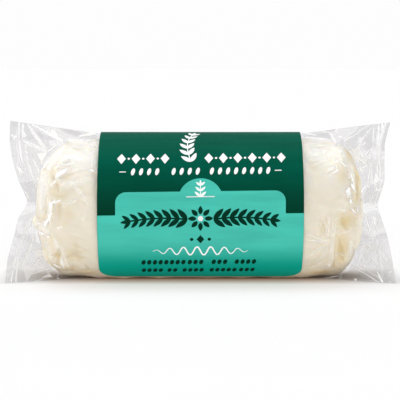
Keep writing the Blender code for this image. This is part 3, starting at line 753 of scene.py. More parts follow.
def film_end(end, lumps):
    """Rings of the film from the label's edge to the seal, how loose it is there, and how white its
    creases, painted highlights and sheens make it.
    """
    rng = np.random.default_rng(FILM_SEED[end])
    turns = np.linspace(-math.pi / 2, math.pi / 2, FILM_COLUMNS)
    seal = curve_through(SEAL_EDGE[end], (turns + math.pi / 2) / math.pi)
    share = np.linspace(0, 1, FILM_ROWS)[:, None]
    x = end * ROOT_X * (1 - share) + seal[:, 0] * share
    z = (AXIS_HEIGHT + FILM_RADIUS * np.sin(turns)) * (1 - share) + seal[:, 2] * share
    reach = np.abs(seal[:, 0]) - ROOT_X
    band_start = reach - SEAL_BAND
    along = share * reach
    base_gap = FILM_RADIUS * np.cos(turns) * smooth_step(1.0 - along / band_start, 0.0, 1.0)
    started = smooth_step(along, 0.0, START_REACH)
    in_band = smooth_step(along, band_start + BAND_EDGE[0], band_start + BAND_EDGE[1])
    away = smooth_step(along, AWAY_SHARE[0] * reach, AWAY_SHARE[1] * reach)

    shared, creases_and_glints = shared_crumple(rng, end, x, z, in_band)
    middle_y = seal[:, 1] * share + shared * away * (1 - BAND_FLATNESS * in_band)
    shine = shine_mask(end, x, z)
    sheen = crease_and_sheen_mask(x / MILLIMETRE, z / MILLIMETRE, SHEENS[end])
    creases_and_glints = np.maximum.reduce([creases_and_glints, shine, band_streaks(end, along, reach, z)])

    layers = []
    for side in (-1, 1):
        facets = crumple_net(scattered_corners(rng, end, *OWN_FACETS))
        own = net_height(x, z, facets)[0] + spindles(x, z, pulled_folds(rng, end, **LOOSE_PULLS))
        free = np.clip(base_gap * OPEN_SHARE / OPEN_GAP, 0.0, 1.0) * started
        half_gap = np.maximum(base_gap + free * own + LEAST_GAP, LEAST_GAP)
        wrinkles = spindles(x, z, pulled_folds(rng, end, **TIGHT_PULLS))
        waves = ripples(np.stack([x, z], -1), WRINKLE_SEED + side + end, WRINKLE_SIZE)
        wrinkles += WRINKLE_HEIGHT * np.abs(waves)
        cheese = cheese_half_depth(end, x, z, side, lumps) + FILM_LAYER + wrinkles * started
        cheese = cheese - side * middle_y
        loose = smooth_step(half_gap - cheese, *LOOSE_GAP)
        softness = CONTACT_SOFTNESS * np.cos(turns) * started * (1 - in_band)
        half_gap = 0.5 * (half_gap + cheese + np.sqrt((half_gap - cheese) ** 2 + softness**2))
        half_gap[:, (0, -1)] = 0.0
        creases_and_painted_shine = creases_and_glints * away * loose * started
        # Painted highlights and sheens: the front layer takes them in full, the back layer half of its
        # creases and highlights where it is loose
        creases_and_painted_shine = np.maximum.reduce([creases_and_painted_shine, shine, sheen]) if side < 0 else BACK_CREASE * creases_and_painted_shine
        layers.append((np.stack([x, middle_y + side * half_gap, z], -1), creases_and_painted_shine, loose))
    return [np.concatenate([front, back[:, -2:0:-1]], 1) for front, back in zip(*layers)]


def film_mesh(material):
    """The film bag: one closed skin that also keeps how loose it is and how white its creases and painted
    highlights make it.
    """
    lumps = end_lumps()
    left = [part[::-1] for part in film_end(-1, lumps)]
    turns = np.linspace(-math.pi / 2, math.pi / 2, FILM_COLUMNS)
    turns = np.concatenate([turns, math.pi - turns[-2:0:-1]])
    count = len(turns)
    y = -FILM_RADIUS * np.cos(turns)
    z = AXIS_HEIGHT + FILM_RADIUS * np.sin(turns)
    middle = np.array([np.stack([np.full(count, x), y, z], -1) for x in FILM_MIDDLE_X])
    under_label = np.zeros(middle.shape[:2])
    parts = zip(left, (middle, under_label, under_label), film_end(1, lumps))
    rings, creases_and_painted_shine, loose = (np.concatenate(part) for part in parts)
    rings[..., 2] = np.maximum(rings[..., 2], FILM_FLOOR_GAP)
    faces = [tuple(reversed(face)) for face in grid_faces(len(rings), count, wrap=True)]
    for ring, flip in ((0, True), (len(rings) - 1, False)):
        low = ring * count
        for i in range(FILM_COLUMNS - 1):
            corners = (low + i, low + i + 1, low + (count - i - 1) % count, low + (count - i) % count)
            corners = tuple(dict.fromkeys(corners))
            faces.append(tuple(reversed(corners)) if flip else corners)
    film = new_piece("clear_film", rings, faces, material)
    store_values(film, {"creases_and_painted_shine": creases_and_painted_shine, "loose": loose})
    return film


# Node helpers


class Nodes:
    """Adds nodes to a tree and joins them, so that a tree reads as a list of steps."""

    def __init__(self, tree):
        self.tree = tree

    def add(self, kind, inputs=None, **settings):
        node = self.tree.nodes.new(kind)
        for name, value in settings.items():
            setattr(node, name, value)
        for name, value in (inputs or {}).items():
            self.put(node.inputs[name], value)
        return node

    def put(self, socket, value):
        if isinstance(value, bpy.types.NodeSocket):
            self.tree.links.new(value, socket)
        elif isinstance(value, bpy.types.Node):
            self.tree.links.new(value.outputs[0], socket)
        else:
            socket.default_value = value

    def math(self, operation, *values, clamp=False):
        node = self.add("ShaderNodeMath", operation=operation, use_clamp=clamp)
        for socket, value in zip(node.inputs, values):
            self.put(socket, value)
        return node.outputs[0]

    def dot(self, first, second):
        node = self.add("ShaderNodeVectorMath", operation="DOT_PRODUCT")
        self.put(node.inputs[0], first)
        self.put(node.inputs[1], second)
        return node.outputs["Value"]

    def remap(self, value, low, high, to_low=0.0, to_high=1.0, kind="LINEAR"):
        inputs = {"Value": value, "From Min": low, "From Max": high, "To Min": to_low, "To Max": to_high}
        return self.add("ShaderNodeMapRange", inputs, interpolation_type=kind).outputs[0]

    def blend(self, share, first, second, kind="MIX"):
        node = self.add("ShaderNodeMix", data_type="RGBA", blend_type=kind)
        for socket, value in ((0, share), (6, first), (7, second)):
            self.put(node.inputs[socket], value)
        return node.outputs[2]

    def noise(self, place, scale, detail=2.0, roughness=0.5):
        inputs = {"Vector": place, "Scale": scale, "Detail": detail, "Roughness": roughness}
        return self.add("ShaderNodeTexNoise", inputs).outputs["Fac"]

    def vector(self, x=0.0, y=0.0, z=0.0):
        return self.add("ShaderNodeCombineXYZ", {"X": x, "Y": y, "Z": z}).outputs[0]

    def axes(self, vector):
        return self.add("ShaderNodeSeparateXYZ", {"Vector": vector}).outputs

    def place(self):
        """The place on the piece."""
        return self.add("ShaderNodeTexCoord").outputs["Object"]

    def stored(self, name):
        """A value that the mesh keeps at its points."""
        return self.add("ShaderNodeAttribute", attribute_name=name).outputs["Fac"]

    def bump(self, height, strength):
        return self.add("ShaderNodeBump", {"Height": height, "Strength": strength, "Distance": BUMP_DEPTH})

    def mix(self, share, first, second):
        return self.add("ShaderNodeMixShader", {"Fac": share, 1: first, 2: second})

    def surface(self, shader):
        self.add("ShaderNodeOutputMaterial", {"Surface": shader})


# Materials

# Grains are in waves for each metre, and fades go from one height to another in metres
BUMP_DEPTH = 0.0004
WHITE_LIGHT = (1.0, 1.0, 1.0, 1.0)

CHEESE_BROAD_GRAIN = 120.0
CHEESE_FINE_GRAIN = 520.0
CHEESE_DULLEST_GRAIN = 0.94
END_YELLOW_X = (0.033, 0.044)
END_YELLOW = 0.16
LOW_YELLOW_FADE = (0.028, 0.010)
LOW_YELLOW = 0.16
# Painted shade: the cheese turns yellower and darker where its relief is low, in its hollows
HOLLOW_PAINTED_SHADE = -0.80
PATCH_RANGE = (0.62, 1.15)
PATCH_YELLOW = 0.30
# Painted light: the heights over which the cheese turns to the lighter cream of its top
PAINTED_TOP_LIGHT_FADE = (0.034, 0.023)

FILM_GRAIN = 420.0
FILM_RIM_POWER = 4.0
FILM_RIM = 0.28
TIGHT_RIM = 0.5
TIGHT_MIRROR = 0.45
TIGHT_HAZE = 5.0
TIGHT_TINT = 0.4
CREASE_THROUGH = 0.4

PRINT_GRAIN = 900.0
PRINT_BROAD_GRAIN = 70.0
PRINT_STREAKS = 420.0
PRINT_STRETCH = 0.12
PRINT_DARKEST = 0.90
PRINT_LIGHTEST = 1.08


def opaque(colour):
    return (*colour, 1.0)


def new_material(name):
    material = bpy.data.materials.new(name)
    material.use_nodes = True
    material.node_tree.nodes.clear()
    return material, Nodes(material.node_tree)


def cheese_material(settings):
    """Moist fresh cheese: cream with fine grain and a lighter top of painted light; yellower in its hollows
    (painted shade), low down and at its ends.
    """
    material, nodes = new_material("fresh_cheese")
    place = nodes.place()
    axes = nodes.axes(place)
    broad = nodes.noise(place, CHEESE_BROAD_GRAIN, 3.0, 0.55)
    fine = nodes.noise(place, CHEESE_FINE_GRAIN, 4.0, 0.6)
    at_end = nodes.remap(nodes.math("ABSOLUTE", axes["X"]), *END_YELLOW_X, 0.0, END_YELLOW)
    # Yellower where the relief is low: painted shade in the hollows, with random patches and the ends
    hollow_shade_and_patches = nodes.math("MULTIPLY_ADD", nodes.stored("relief"), HOLLOW_PAINTED_SHADE, broad)
    hollow_shade_and_patches = nodes.math("ADD", hollow_shade_and_patches, at_end)
    patch = nodes.remap(hollow_shade_and_patches, *PATCH_RANGE, 0.0, PATCH_YELLOW, kind="SMOOTHSTEP")
    patch = nodes.math("ADD", patch, nodes.remap(axes["Z"], *LOW_YELLOW_FADE, 0.0, LOW_YELLOW))
    ragged = nodes.math("MULTIPLY", nodes.stored("yellow"), nodes.remap(broad, 0.35, 0.60, 0.85, 1.0))
    patch = nodes.math("MAXIMUM", patch, ragged, clamp=True)
    # The lighter cream of the top of the log is painted light
    height = nodes.remap(axes["Z"], *PAINTED_TOP_LIGHT_FADE, kind="SMOOTHSTEP")
    cream = nodes.blend(height, opaque(settings.cream), opaque(settings.low_cream))
    grains = nodes.remap(fine, 0.0, 1.0, 1.0, CHEESE_DULLEST_GRAIN)
    cream = nodes.blend(1.0, cream, nodes.vector(grains, grains, grains), "MULTIPLY")
    inputs = {
        "Base Color": nodes.blend(patch, cream, opaque(settings.yellow)),
        "Roughness": 0.48,
        "Subsurface Weight": 0.35,
        "Subsurface Radius": (0.0030, 0.0022, 0.0012),
        "Subsurface Scale": 1.0,
        "Normal": nodes.bump(fine, 0.25),
    }
    nodes.surface(nodes.add("ShaderNodeBsdfPrincipled", inputs))
    return material


def film_material(settings):
    """Thin clear film: loose film takes some light away and mirrors some; creases, painted highlights and
    painted sheens scatter white light.
    """
    material, nodes = new_material("clear_film")
    bump = nodes.bump(nodes.noise(nodes.place(), FILM_GRAIN, 2.0), 0.02)
    facing = nodes.add("ShaderNodeLayerWeight", {"Blend": 0.5, "Normal": bump}).outputs["Facing"]
    loose = nodes.stored("loose")
    rim = nodes.math("MULTIPLY", nodes.math("POWER", facing, FILM_RIM_POWER), FILM_RIM)
    rim = nodes.math("MULTIPLY", rim, nodes.remap(loose, 0.0, 1.0, TIGHT_RIM, 1.0))
    share = nodes.remap(loose, 0.0, 1.0, TIGHT_MIRROR * settings.mirror, settings.mirror)
    mirror = nodes.math("ADD", share, rim, clamp=True)
    tight_tint = [1.0 - TIGHT_TINT + TIGHT_TINT * channel for channel in settings.tint]
    tint = nodes.blend(loose, opaque(tight_tint), opaque(settings.tint))
    clear = nodes.add("ShaderNodeBsdfTransparent", {"Color": tint})
    rough = nodes.remap(loose, 0.0, 1.0, TIGHT_HAZE * settings.haze, settings.haze)
    gloss = nodes.add("ShaderNodeBsdfGlossy", {"Roughness": rough, "Normal": bump})
    lit = nodes.add("ShaderNodeBsdfDiffuse", {"Color": WHITE_LIGHT})
    through = nodes.add("ShaderNodeBsdfTranslucent", {"Color": WHITE_LIGHT})
    white = nodes.mix(nodes.math("MULTIPLY", loose, CREASE_THROUGH), lit, through)
    scatter = nodes.math("MULTIPLY", nodes.stored("creases_and_painted_shine"), settings.whiteness, clamp=True)
    nodes.surface(nodes.mix(scatter, nodes.mix(mirror, clear, gloss), white))
    return material


def printed_film(name, colour, shaded_low_colour=None, fade=(0.0, 0.0)):
    """Satin printed film of one ink, with a faint grain and faint streaks of painted sheen, that may turn
    darker lower down over a fade in height, as painted shade.
    """
    material, nodes = new_material(name)
    place = nodes.place()
    axes = nodes.axes(place)
    grain = nodes.noise(place, PRINT_GRAIN, 2.0)
    broad = nodes.noise(place, PRINT_BROAD_GRAIN, 2.0)
    # Faint lighter and darker streaks along the log: painted sheen streaks
    drawn = nodes.vector(nodes.math("MULTIPLY", axes["X"], PRINT_STRETCH), axes["Y"], axes["Z"])
    drawn = nodes.noise(drawn, PRINT_STREAKS, 3.0)
    streak = nodes.math("MULTIPLY_ADD", drawn, 0.7, nodes.math("MULTIPLY", broad, 0.3))
    streak = nodes.remap(streak, 0.35, 0.65)
    dark = opaque(PRINT_DARKEST * channel for channel in colour)
    light = opaque(min(PRINT_LIGHTEST * channel, 1.0) for channel in colour)
    tone = nodes.blend(streak, dark, light)
    if shaded_low_colour:
        tone = nodes.blend(nodes.remap(axes["Z"], *fade, kind="SMOOTHSTEP"), tone, opaque(shaded_low_colour))
    inputs = {
        "Base Color": tone,
        "Roughness": nodes.remap(grain, 0.3, 0.7, 0.46, 0.58),
        "Specular IOR Level": 0.02,
        "Normal": nodes.bump(broad, 0.10),
    }
    nodes.surface(nodes.add("ShaderNodeBsdfPrincipled", inputs))
    return material


# The label is drawn flat and then wrapped. On the flat drawing x runs along the log, y upwards round it
# from the front's middle line, and z out of its surface.

LABEL_THICKNESS = 0.00015
PANEL_RISE = 0.00003
INK_RISE = 0.00006
INK_SINK = 0.00002
LABEL_LOW_Y = LABEL_RADIUS * LABEL_LOW_EDGE
LABEL_FAR_Y = LABEL_RADIUS * (math.pi - LABEL_LOW_EDGE)
PRINT_TILT = 0.0125
# Heights over which the green and the teal turn darker lower down: painted shade
GREEN_SHADE_FADE = (0.0345, 0.0170)
TEAL_SHADE_FADE = (0.0122, 0.0040)

SOCKETS = {
    float: "NodeSocketFloat",
    int: "NodeSocketInt",
    tuple: "NodeSocketVector",
    type(None): "NodeSocketMaterial",
}
ORIGIN = (0.0, 0.0, 0.0)


def start_tree(name, sizes):
    """Starts a Geometry Nodes tree with an input for each named size: its helper and its inputs."""
    tree = bpy.data.node_groups.new(name, "GeometryNodeTree")
    for way in ("OUTPUT", "INPUT"):
        tree.interface.new_socket("Geometry", in_out=way, socket_type="NodeSocketGeometry")
    for size, default in sizes.items():
        socket = tree.interface.new_socket(size, in_out="INPUT", socket_type=SOCKETS[type(default)])
        if default is not None:
            socket.default_value = default
    nodes = Nodes(tree)
    return nodes, nodes.add("NodeGroupInput").outputs


WRAP_SIZES = {
    "Radius": LABEL_RADIUS,
    "Axis Height": AXIS_HEIGHT,
    "Skew": 0.0,
    "Wave Height": 0.00008,
    "Wave Size": 0.0060,
}
WAVE_STRETCH = 0.25
WAVE_DETAIL = 1.5
STEM_STEPS = 24
TIP_SHARE = 0.99


def wrap_tree():
    """Wraps flat geometry round the log, with a slight skew and slow waves that run along the log."""
    nodes, given = start_tree("wrap_round_log", WRAP_SIZES)
    axes = nodes.axes(nodes.add("GeometryNodeInputPosition"))
    around = nodes.math("MULTIPLY_ADD", axes["X"], given["Skew"], axes["Y"])
    stretched = nodes.vector(nodes.math("MULTIPLY", axes["X"], WAVE_STRETCH), around)
    ripple = nodes.noise(stretched, nodes.math("DIVIDE", 1.0, given["Wave Size"]), WAVE_DETAIL)
    wave = nodes.math("MULTIPLY", nodes.math("SUBTRACT", ripple, 0.5), given["Wave Height"])
    radius = nodes.math("ADD", nodes.math("ADD", given["Radius"], axes["Z"]), wave)
    turn = nodes.math("DIVIDE", around, given["Radius"])
    depth = nodes.math("MULTIPLY", radius, nodes.math("COSINE", turn))
    height = nodes.math("MULTIPLY_ADD", radius, nodes.math("SINE", turn), given["Axis Height"])
    place = nodes.vector(axes["X"], nodes.math("MULTIPLY", depth, -1.0), height)
    placed = nodes.add("GeometryNodeSetPosition", {"Geometry": given["Geometry"], "Position": place})
    nodes.add("NodeGroupOutput", {"Geometry": placed})


def end_tree(nodes, given, shape):
    """The last steps of each label tree: real geometry, wrapped round the log, with its material."""
    real = nodes.add("GeometryNodeRealizeInstances", {"Geometry": shape})
    wrap = nodes.add("GeometryNodeGroup", node_tree=bpy.data.node_groups["wrap_round_log"])
    nodes.put(wrap.inputs["Geometry"], real)
    for size in WRAP_SIZES:
        nodes.put(wrap.inputs[size], given[size])
    whole = nodes.add("GeometryNodeRealizeInstances", {"Geometry": wrap})
    inked = nodes.add("GeometryNodeSetMaterial", {"Geometry": whole, "Material": given["Material"]})
    nodes.add("NodeGroupOutput", {"Geometry": inked})


def sheet_tree():
    """One flat shape laid round the log."""
    nodes, given = start_tree("sheet_round_log", {**WRAP_SIZES, "Material": None})
    end_tree(nodes, given, given["Geometry"])


def row_tree():
    """A row of the same flat shape, all turned alike."""
    sizes = {"Count": 5, "First": ORIGIN, "Step": (0.002, 0.0, 0.0), "Turn": 0.0}
    nodes, given = start_tree("row_round_log", {**sizes, **WRAP_SIZES, "Material": None})
    line = {"Count": given["Count"], "Start Location": given["First"], "Offset": given["Step"]}
    line = nodes.add("GeometryNodeMeshLine", line)
    turned = nodes.add("FunctionNodeEulerToRotation", {"Euler": nodes.vector(z=given["Turn"])})
    row = {"Points": line, "Instance": given["Geometry"], "Rotation": turned}
    end_tree(nodes, given, nodes.add("GeometryNodeInstanceOnPoints", row))


def garland_tree():
    """Leaves along both sides of a curved stem, with one more at its tip."""
    sizes = {"Leaves": 8, "Start": ORIGIN, "Middle": (0.01, 0.0, 0.0), "End": (0.02, 0.0, 0.0)}
    sizes.update({"Leaf Angle": 0.8, "First Size": 1.0, "Last Size": 0.6})
    sizes.update({"Stem Width": 0.0003, "Stem Height": 0.0001})
    nodes, given = start_tree("garland_round_log", {**sizes, **WRAP_SIZES, "Material": None})
    bend = {name: given[name] for name in ("Start", "Middle", "End")}
    stem = nodes.add("GeometryNodeCurveQuadraticBezier", {"Resolution": STEM_STEPS, **bend})
    spots = nodes.add("GeometryNodeResampleCurve", {"Curve": stem, "Count": given["Leaves"]})
    share = nodes.add("GeometryNodeSplineParameter").outputs["Factor"]
    size = nodes.remap(share, 0.0, 1.0, given["First Size"], given["Last Size"])
    tangent = nodes.add("GeometryNodeInputTangent")
    along = nodes.add("FunctionNodeAlignRotationToVector", {"Vector": tangent}, axis="X")
    joined = nodes.add("GeometryNodeJoinGeometry")
    for side in (-1, 0, 1):
        lean = nodes.vector(z=nodes.math("MULTIPLY", given["Leaf Angle"], float(side)))
        rotation = nodes.add("FunctionNodeRotateRotation", rotation_space="LOCAL")
        nodes.put(rotation.inputs[0], along)
        nodes.put(rotation.inputs[1], nodes.add("FunctionNodeEulerToRotation", {"Euler": lean}))
        row = {"Points": spots, "Instance": given["Geometry"], "Rotation": rotation}
        row["Scale"] = nodes.vector(size, size, 1.0)
        if side == 0:
            row["Selection"] = nodes.math("GREATER_THAN", share, TIP_SHARE)
        nodes.put(joined.inputs["Geometry"], nodes.add("GeometryNodeInstanceOnPoints", row))
    level = nodes.add("GeometryNodeSetCurveNormal", {"Curve": stem}, mode="Z_UP")
    profile = {"Width": given["Stem Width"], "Height": given["Stem Height"]}
    profile = nodes.add("GeometryNodeCurvePrimitiveQuadrilateral", profile)
    tube = {"Curve": level, "Profile Curve": profile, "Fill Caps": True}
    nodes.put(joined.inputs["Geometry"], nodes.add("GeometryNodeCurveToMesh", tube))
    end_tree(nodes, given, joined)


def rosette_tree():
    """Petals in a ring that all point away from its centre."""
    sizes = {"Petals": 8, "Centre": ORIGIN, "Ring Radius": 0.0010}
    nodes, given = start_tree("rosette_round_log", {**sizes, **WRAP_SIZES, "Material": None})
    ring = {"Vertices": given["Petals"], "Radius": given["Ring Radius"]}
    ring = nodes.add("GeometryNodeMeshCircle", ring)
    outwards = nodes.add("GeometryNodeInputPosition")
    turned = nodes.add("FunctionNodeAlignRotationToVector", {"Vector": outwards}, axis="X")
    petals = {"Points": ring, "Instance": given["Geometry"], "Rotation": turned}
    petals = nodes.add("GeometryNodeInstanceOnPoints", petals)
    moved = nodes.add("GeometryNodeTransform", {"Geometry": petals, "Translation": given["Centre"]})
    end_tree(nodes, given, moved)


def run_tree(tree_name, mesh, values, material):
    """The plain mesh that a label tree makes out of a flat mesh, with its named inputs set."""
    tree = bpy.data.node_groups[tree_name]
    carrier = show("flat_shape", mesh)
    modifier = carrier.modifiers.new("wrap", "NODES")
    modifier.node_group = tree
    wanted = {**values, "Material": material}
    for socket in tree.interface.items_tree:
        if socket.item_type == "SOCKET" and socket.in_out == "INPUT" and socket.name in wanted:
            modifier[socket.identifier] = wanted.pop(socket.name)
    if wanted:
        raise RuntimeError(f"{tree_name} has no input named {', '.join(wanted)}")
    carrier.update_tag()
    seen = carrier.evaluated_get(bpy.context.evaluated_depsgraph_get())
    made = bpy.data.meshes.new_from_object(seen)
    bpy.data.objects.remove(carrier)
    bpy.data.meshes.remove(mesh)
    if not made.polygons:
        raise RuntimeError(f"{tree_name} made no faces")
    return made


# Steps and proportions of the small flat shapes
SHAPE_ROWS = 3
LEAF_STEPS = 12
LEAF_TRIM = 0.015
LEAF_LEAN = 0.85
LEAF_FULLNESS = 0.8
DISC_STEPS = 13
DISC_TRIM = 0.12
LOZENGE_COLUMNS = (-0.49, -0.25, 0.0, 0.25, 0.49)
LOZENGE_ROWS = 4
FLOURISH_STEPS = 40
FLOURISH_THINNEST = 0.25


def flat_solid(columns, low, high, rows, top=INK_RISE, bottom=-INK_SINK):
    """A thin closed slab over the stretch of y from low to high at each column of x."""
    columns, low, high = (np.asarray(part, float) for part in (columns, low, high))
    share = np.linspace(0, 1, rows + 1)
    x = np.repeat(columns[:, None], rows + 1, 1)
    y = low[:, None] + (high - low)[:, None] * share
    layers = [np.stack([x, y, np.full_like(x, z)], -1).reshape(-1, 3) for z in (top, bottom)]
    count = x.size
    deep = rows + 1
    faces = grid_faces(len(columns), deep)
    faces = [(a, d, c, b) for a, b, c, d in faces]
    faces += [(a + count, d + count, c + count, b + count) for a, b, c, d in faces]
    last = (len(columns) - 1) * deep
    rim = [i * deep for i in range(len(columns))]
    rim += [last + j for j in range(1, deep)]
    rim += [i * deep + rows for i in range(len(columns) - 2, -1, -1)]
    rim += list(range(rows - 1, 0, -1))
    faces += [(a, a + count, b + count, b) for a, b in zip(rim, rim[1:] + rim[:1])]
    mesh = bpy.data.meshes.new("flat_shape")
    mesh.from_pydata(np.concatenate(layers).tolist(), [], faces)
    return mesh


def flat_leaf(length, width):
    """A pointed leaf that starts at the origin and lies along x."""
    share = np.linspace(LEAF_TRIM, 1 - LEAF_TRIM, LEAF_STEPS)
    half = 0.5 * width * np.sin(math.pi * share**LEAF_LEAN) ** LEAF_FULLNESS
    return flat_solid(length * share, -half, half, SHAPE_ROWS)


def flat_disc(width, height=None):
    """A round or oval dot about the origin."""
    turns = np.linspace(DISC_TRIM, math.pi - DISC_TRIM, DISC_STEPS)
    half = 0.5 * (height or width) * np.sin(turns)
    return flat_solid(-0.5 * width * np.cos(turns), -half, half, SHAPE_ROWS)


def flat_lozenge(width, height):
    """An upright diamond about the origin."""
    columns = width * np.array(LOZENGE_COLUMNS)
    half = height * (0.5 - np.abs(columns) / width)
    return flat_solid(columns, -half, half, LOZENGE_ROWS)


def flat_bar(length, height):
    """A bar about the origin, along x."""
    return flat_solid(np.array([-0.5, 0.5]) * length, [-height / 2] * 2, [height / 2] * 2, 1)


def flat_flourish(length, swing, turns, stroke):
    """A soft wave along x whose line swells in the middle and thins to its ends."""
    share = np.linspace(0, 1, FLOURISH_STEPS * turns)
    swell = np.sin(math.pi * share)
    wave = swing * swell**0.5 * np.sin(2 * math.pi * turns * share)
    slope = np.gradient(wave, length * share)
    width = FLOURISH_THINNEST + (1 - FLOURISH_THINNEST) * swell
    half = 0.5 * stroke * width * np.sqrt(1 + slope**2)
    return flat_solid(length * (share - 0.5), wave - half, wave + half, 2)


def corner_drop(x, half_width, corner):
    """How far a rounded corner has come in at x from the straight edge of a plate."""
    past = np.clip(np.abs(x) - (half_width - corner), 0.0, corner)
    return corner - np.sqrt(corner**2 - past**2)


def fine_columns(half_width, corner):
    """Columns of x over a plate, closer where its rounded corners turn."""
    bent = half_width - corner + corner * np.sin(np.linspace(0, math.pi / 2, CORNER_STEPS))
    even = np.arange(-half_width, half_width, PLATE_SPACING)
    columns = np.sort(np.concatenate([even, [half_width], bent, -bent]))
    return columns[np.concatenate([[True], np.diff(columns) > LEAST_STEP])]


# The colour fields of the label on its flat drawing, and how finely they are divided
PANEL_BORDER_Y = -0.00042
TAB_TOP_Y = 0.00560
TAB_HALF_WIDTH = 0.02215
TAB_CORNER = 0.0028
ARCH_CENTRE_Y = 0.00334
ARCH_RADIUS = 0.00579
ARCH_TRIM = 0.999
ARCH_COLUMNS = 40
PANEL_INSET = 0.00002
PANEL_LAP = 0.0003
PANEL_STEP = 0.000002
LABEL_ROWS = 230
BAND_ROWS = 56
TAB_ROWS = 14
ARCH_ROWS = 8
PLATE_SPACING = 0.0010
CORNER_STEPS = 12
LEAST_STEP = 2e-6
SHARP_ANGLE = math.radians(40)


def label_mesh():
    """The flat label: a plate with rounded corners, as long as it goes round the log."""
    columns = fine_columns(LABEL_HALF_WIDTH, LABEL_CORNER)
    drop = corner_drop(columns, LABEL_HALF_WIDTH, LABEL_CORNER)
    return flat_solid(columns, LABEL_LOW_Y + drop, LABEL_FAR_Y - drop, LABEL_ROWS, 0.0, -LABEL_THICKNESS)


def slab(columns, low, high, rows, layer=0):
    """A part of the lower colour field. A later layer lies a hair higher, so that no two faces meet."""
    return flat_solid(columns, low, high, rows, PANEL_RISE + layer * PANEL_STEP, -INK_SINK)


def panel_slabs():
    """The flat lower colour field: a band, a tab that steps up in its middle and an arch on the tab."""
    half = LABEL_HALF_WIDTH - PANEL_INSET
    columns = fine_columns(half, LABEL_CORNER)
    low = LABEL_LOW_Y + PANEL_INSET + corner_drop(columns, half, LABEL_CORNER)
    band = slab(columns, low, PANEL_BORDER_Y + PRINT_TILT * columns, BAND_ROWS)

    columns = fine_columns(TAB_HALF_WIDTH, TAB_CORNER)
    tilt = PRINT_TILT * columns
    high = TAB_TOP_Y - corner_drop(columns, TAB_HALF_WIDTH, TAB_CORNER) + tilt
    tab = slab(columns, PANEL_BORDER_Y - PANEL_LAP + tilt, high, TAB_ROWS, 1)

    half = ARCH_TRIM * math.sqrt(ARCH_RADIUS**2 - (TAB_TOP_Y - ARCH_CENTRE_Y) ** 2)
    columns = half * np.sin(np.linspace(-math.pi / 2, math.pi / 2, ARCH_COLUMNS))
    tilt = PRINT_TILT * columns
    high = ARCH_CENTRE_Y + np.sqrt(ARCH_RADIUS**2 - columns**2) + tilt
    arch = slab(columns, TAB_TOP_Y - PANEL_LAP + tilt, high, ARCH_ROWS, 2)
    return [band, tab, arch]


def settle(piece, node=None):
    """Attaches a piece to the pack's root, and hides the solid that it stands for."""
    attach(piece, "root")
    if node:
        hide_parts(node)


def finish_print(name, meshes, node=None):
    """Joins plain meshes of one material into a piece of the label that lies on the log."""
    joined = bmesh.new()
    for mesh in meshes:
        joined.from_mesh(mesh)
    mesh = meshes[0]
    joined.to_mesh(mesh)
    joined.free()
    for spare in meshes[1:]:
        bpy.data.meshes.remove(spare)
    mesh.name = name
    mesh.shade_smooth()
    mesh.set_sharp_from_angle(angle=SHARP_ANGLE)
    settle(show(name, mesh), node)


# The print, in metres on the flat drawing

# Leaves of a stem: how many at each side, their angle, first and last size, and the stem's width
LEAF_INPUTS = ("Leaves", "Leaf Angle", "First Size", "Last Size", "Stem Width")
LOZENGE_SIZE = (0.0023, 0.0034)
LOZENGE_Y = 0.0153
LOZENGE_GROUPS = ((-0.0207, 4), (0.0022, 6))
LOZENGE_STEP = 0.0038
BETWEEN_DOT = 0.0006
SEED_SIZE = (0.0010, 0.0021)
SEED_Y = 0.0112
SEED_GROUPS = ((-0.0176, 4), (-0.0070, 4), (0.0030, 8))
SEED_STEP = 0.0021
SEED_TURN = -0.25
DASH_SIZE = (0.00175, 0.00025)
DASH_X = 0.0203
SPRIG_X = -0.0030
SPRIG_Y = (0.0142, 0.0262)
SPRIG_BEND = (0.0006, -0.0016, 0.0008)
SPRIG_LEAF = (0.0034, 0.0013)
SPRIG_LEAVES = (6, 0.70, 0.95, 0.75, 0.00028)
PLANT_Y = (0.0042, 0.0057, 0.0071)
PLANT_LEAF = (0.0020, 0.0007)
PLANT_LEAVES = (3, 0.85, 1.0, 0.80, 0.00022)
PLANT_GROUND = (0.0074, 0.00025)
FLOURISH = {"length": 0.0250, "swing": 0.0013, "turns": 7, "stroke": 0.00042}
FLOURISH_Y = -0.0108
GARLAND_X = (0.0034, 0.0108, 0.0182)
GARLAND_Y = (-0.0017, -0.0008, -0.0020)
GARLAND_LEAF = (0.0041, 0.0015)
GARLAND_LEAVES = (8, 0.72, 0.92, 0.66, 0.00045)
ROSETTE_Y = -0.0015
ROSETTE_PETAL = (0.0022, 0.0012)
ROSETTE_RADIUS = 0.0011
ROSETTE_DOT = 0.0014
MARK_Y = -0.0072
MARK_LOZENGE = (0.0020, 0.0024)
MARK_DOT = 0.0009
MARK_DOT_X = 0.0023
DARK_SEED = (0.0011, 0.0019)
DARK_SEED_STEP = 0.00150
DARK_SEED_TURN = -0.2
DARK_SEED_ROWS = (
    (-0.0148, ((-0.0150, 8), (-0.0028, 3), (0.0035, 3), (0.0096, 4))),
    (-0.0184, ((-0.0150, 4), (-0.0082, 2), (-0.0042, 4), (0.0030, 5), (0.0108, 3))),
)


def row(shape, x, y, count=1, step=0.0, **values):
    """A row of one flat shape along the log, from its first place."""
    line = {"Count": count, "First": (x, y, 0.0), "Step": (step, 0.0, 0.0)}
    return "row_round_log", shape, {**line, **values}


def garland(leaf, places, leaves):
    """A leafy stem that bends through three flat places."""
    bend = {name: (*place, 0.0) for name, place in zip(("Start", "Middle", "End"), places)}
    return "garland_round_log", flat_leaf(*leaf), {**bend, **dict(zip(LEAF_INPUTS, leaves))}


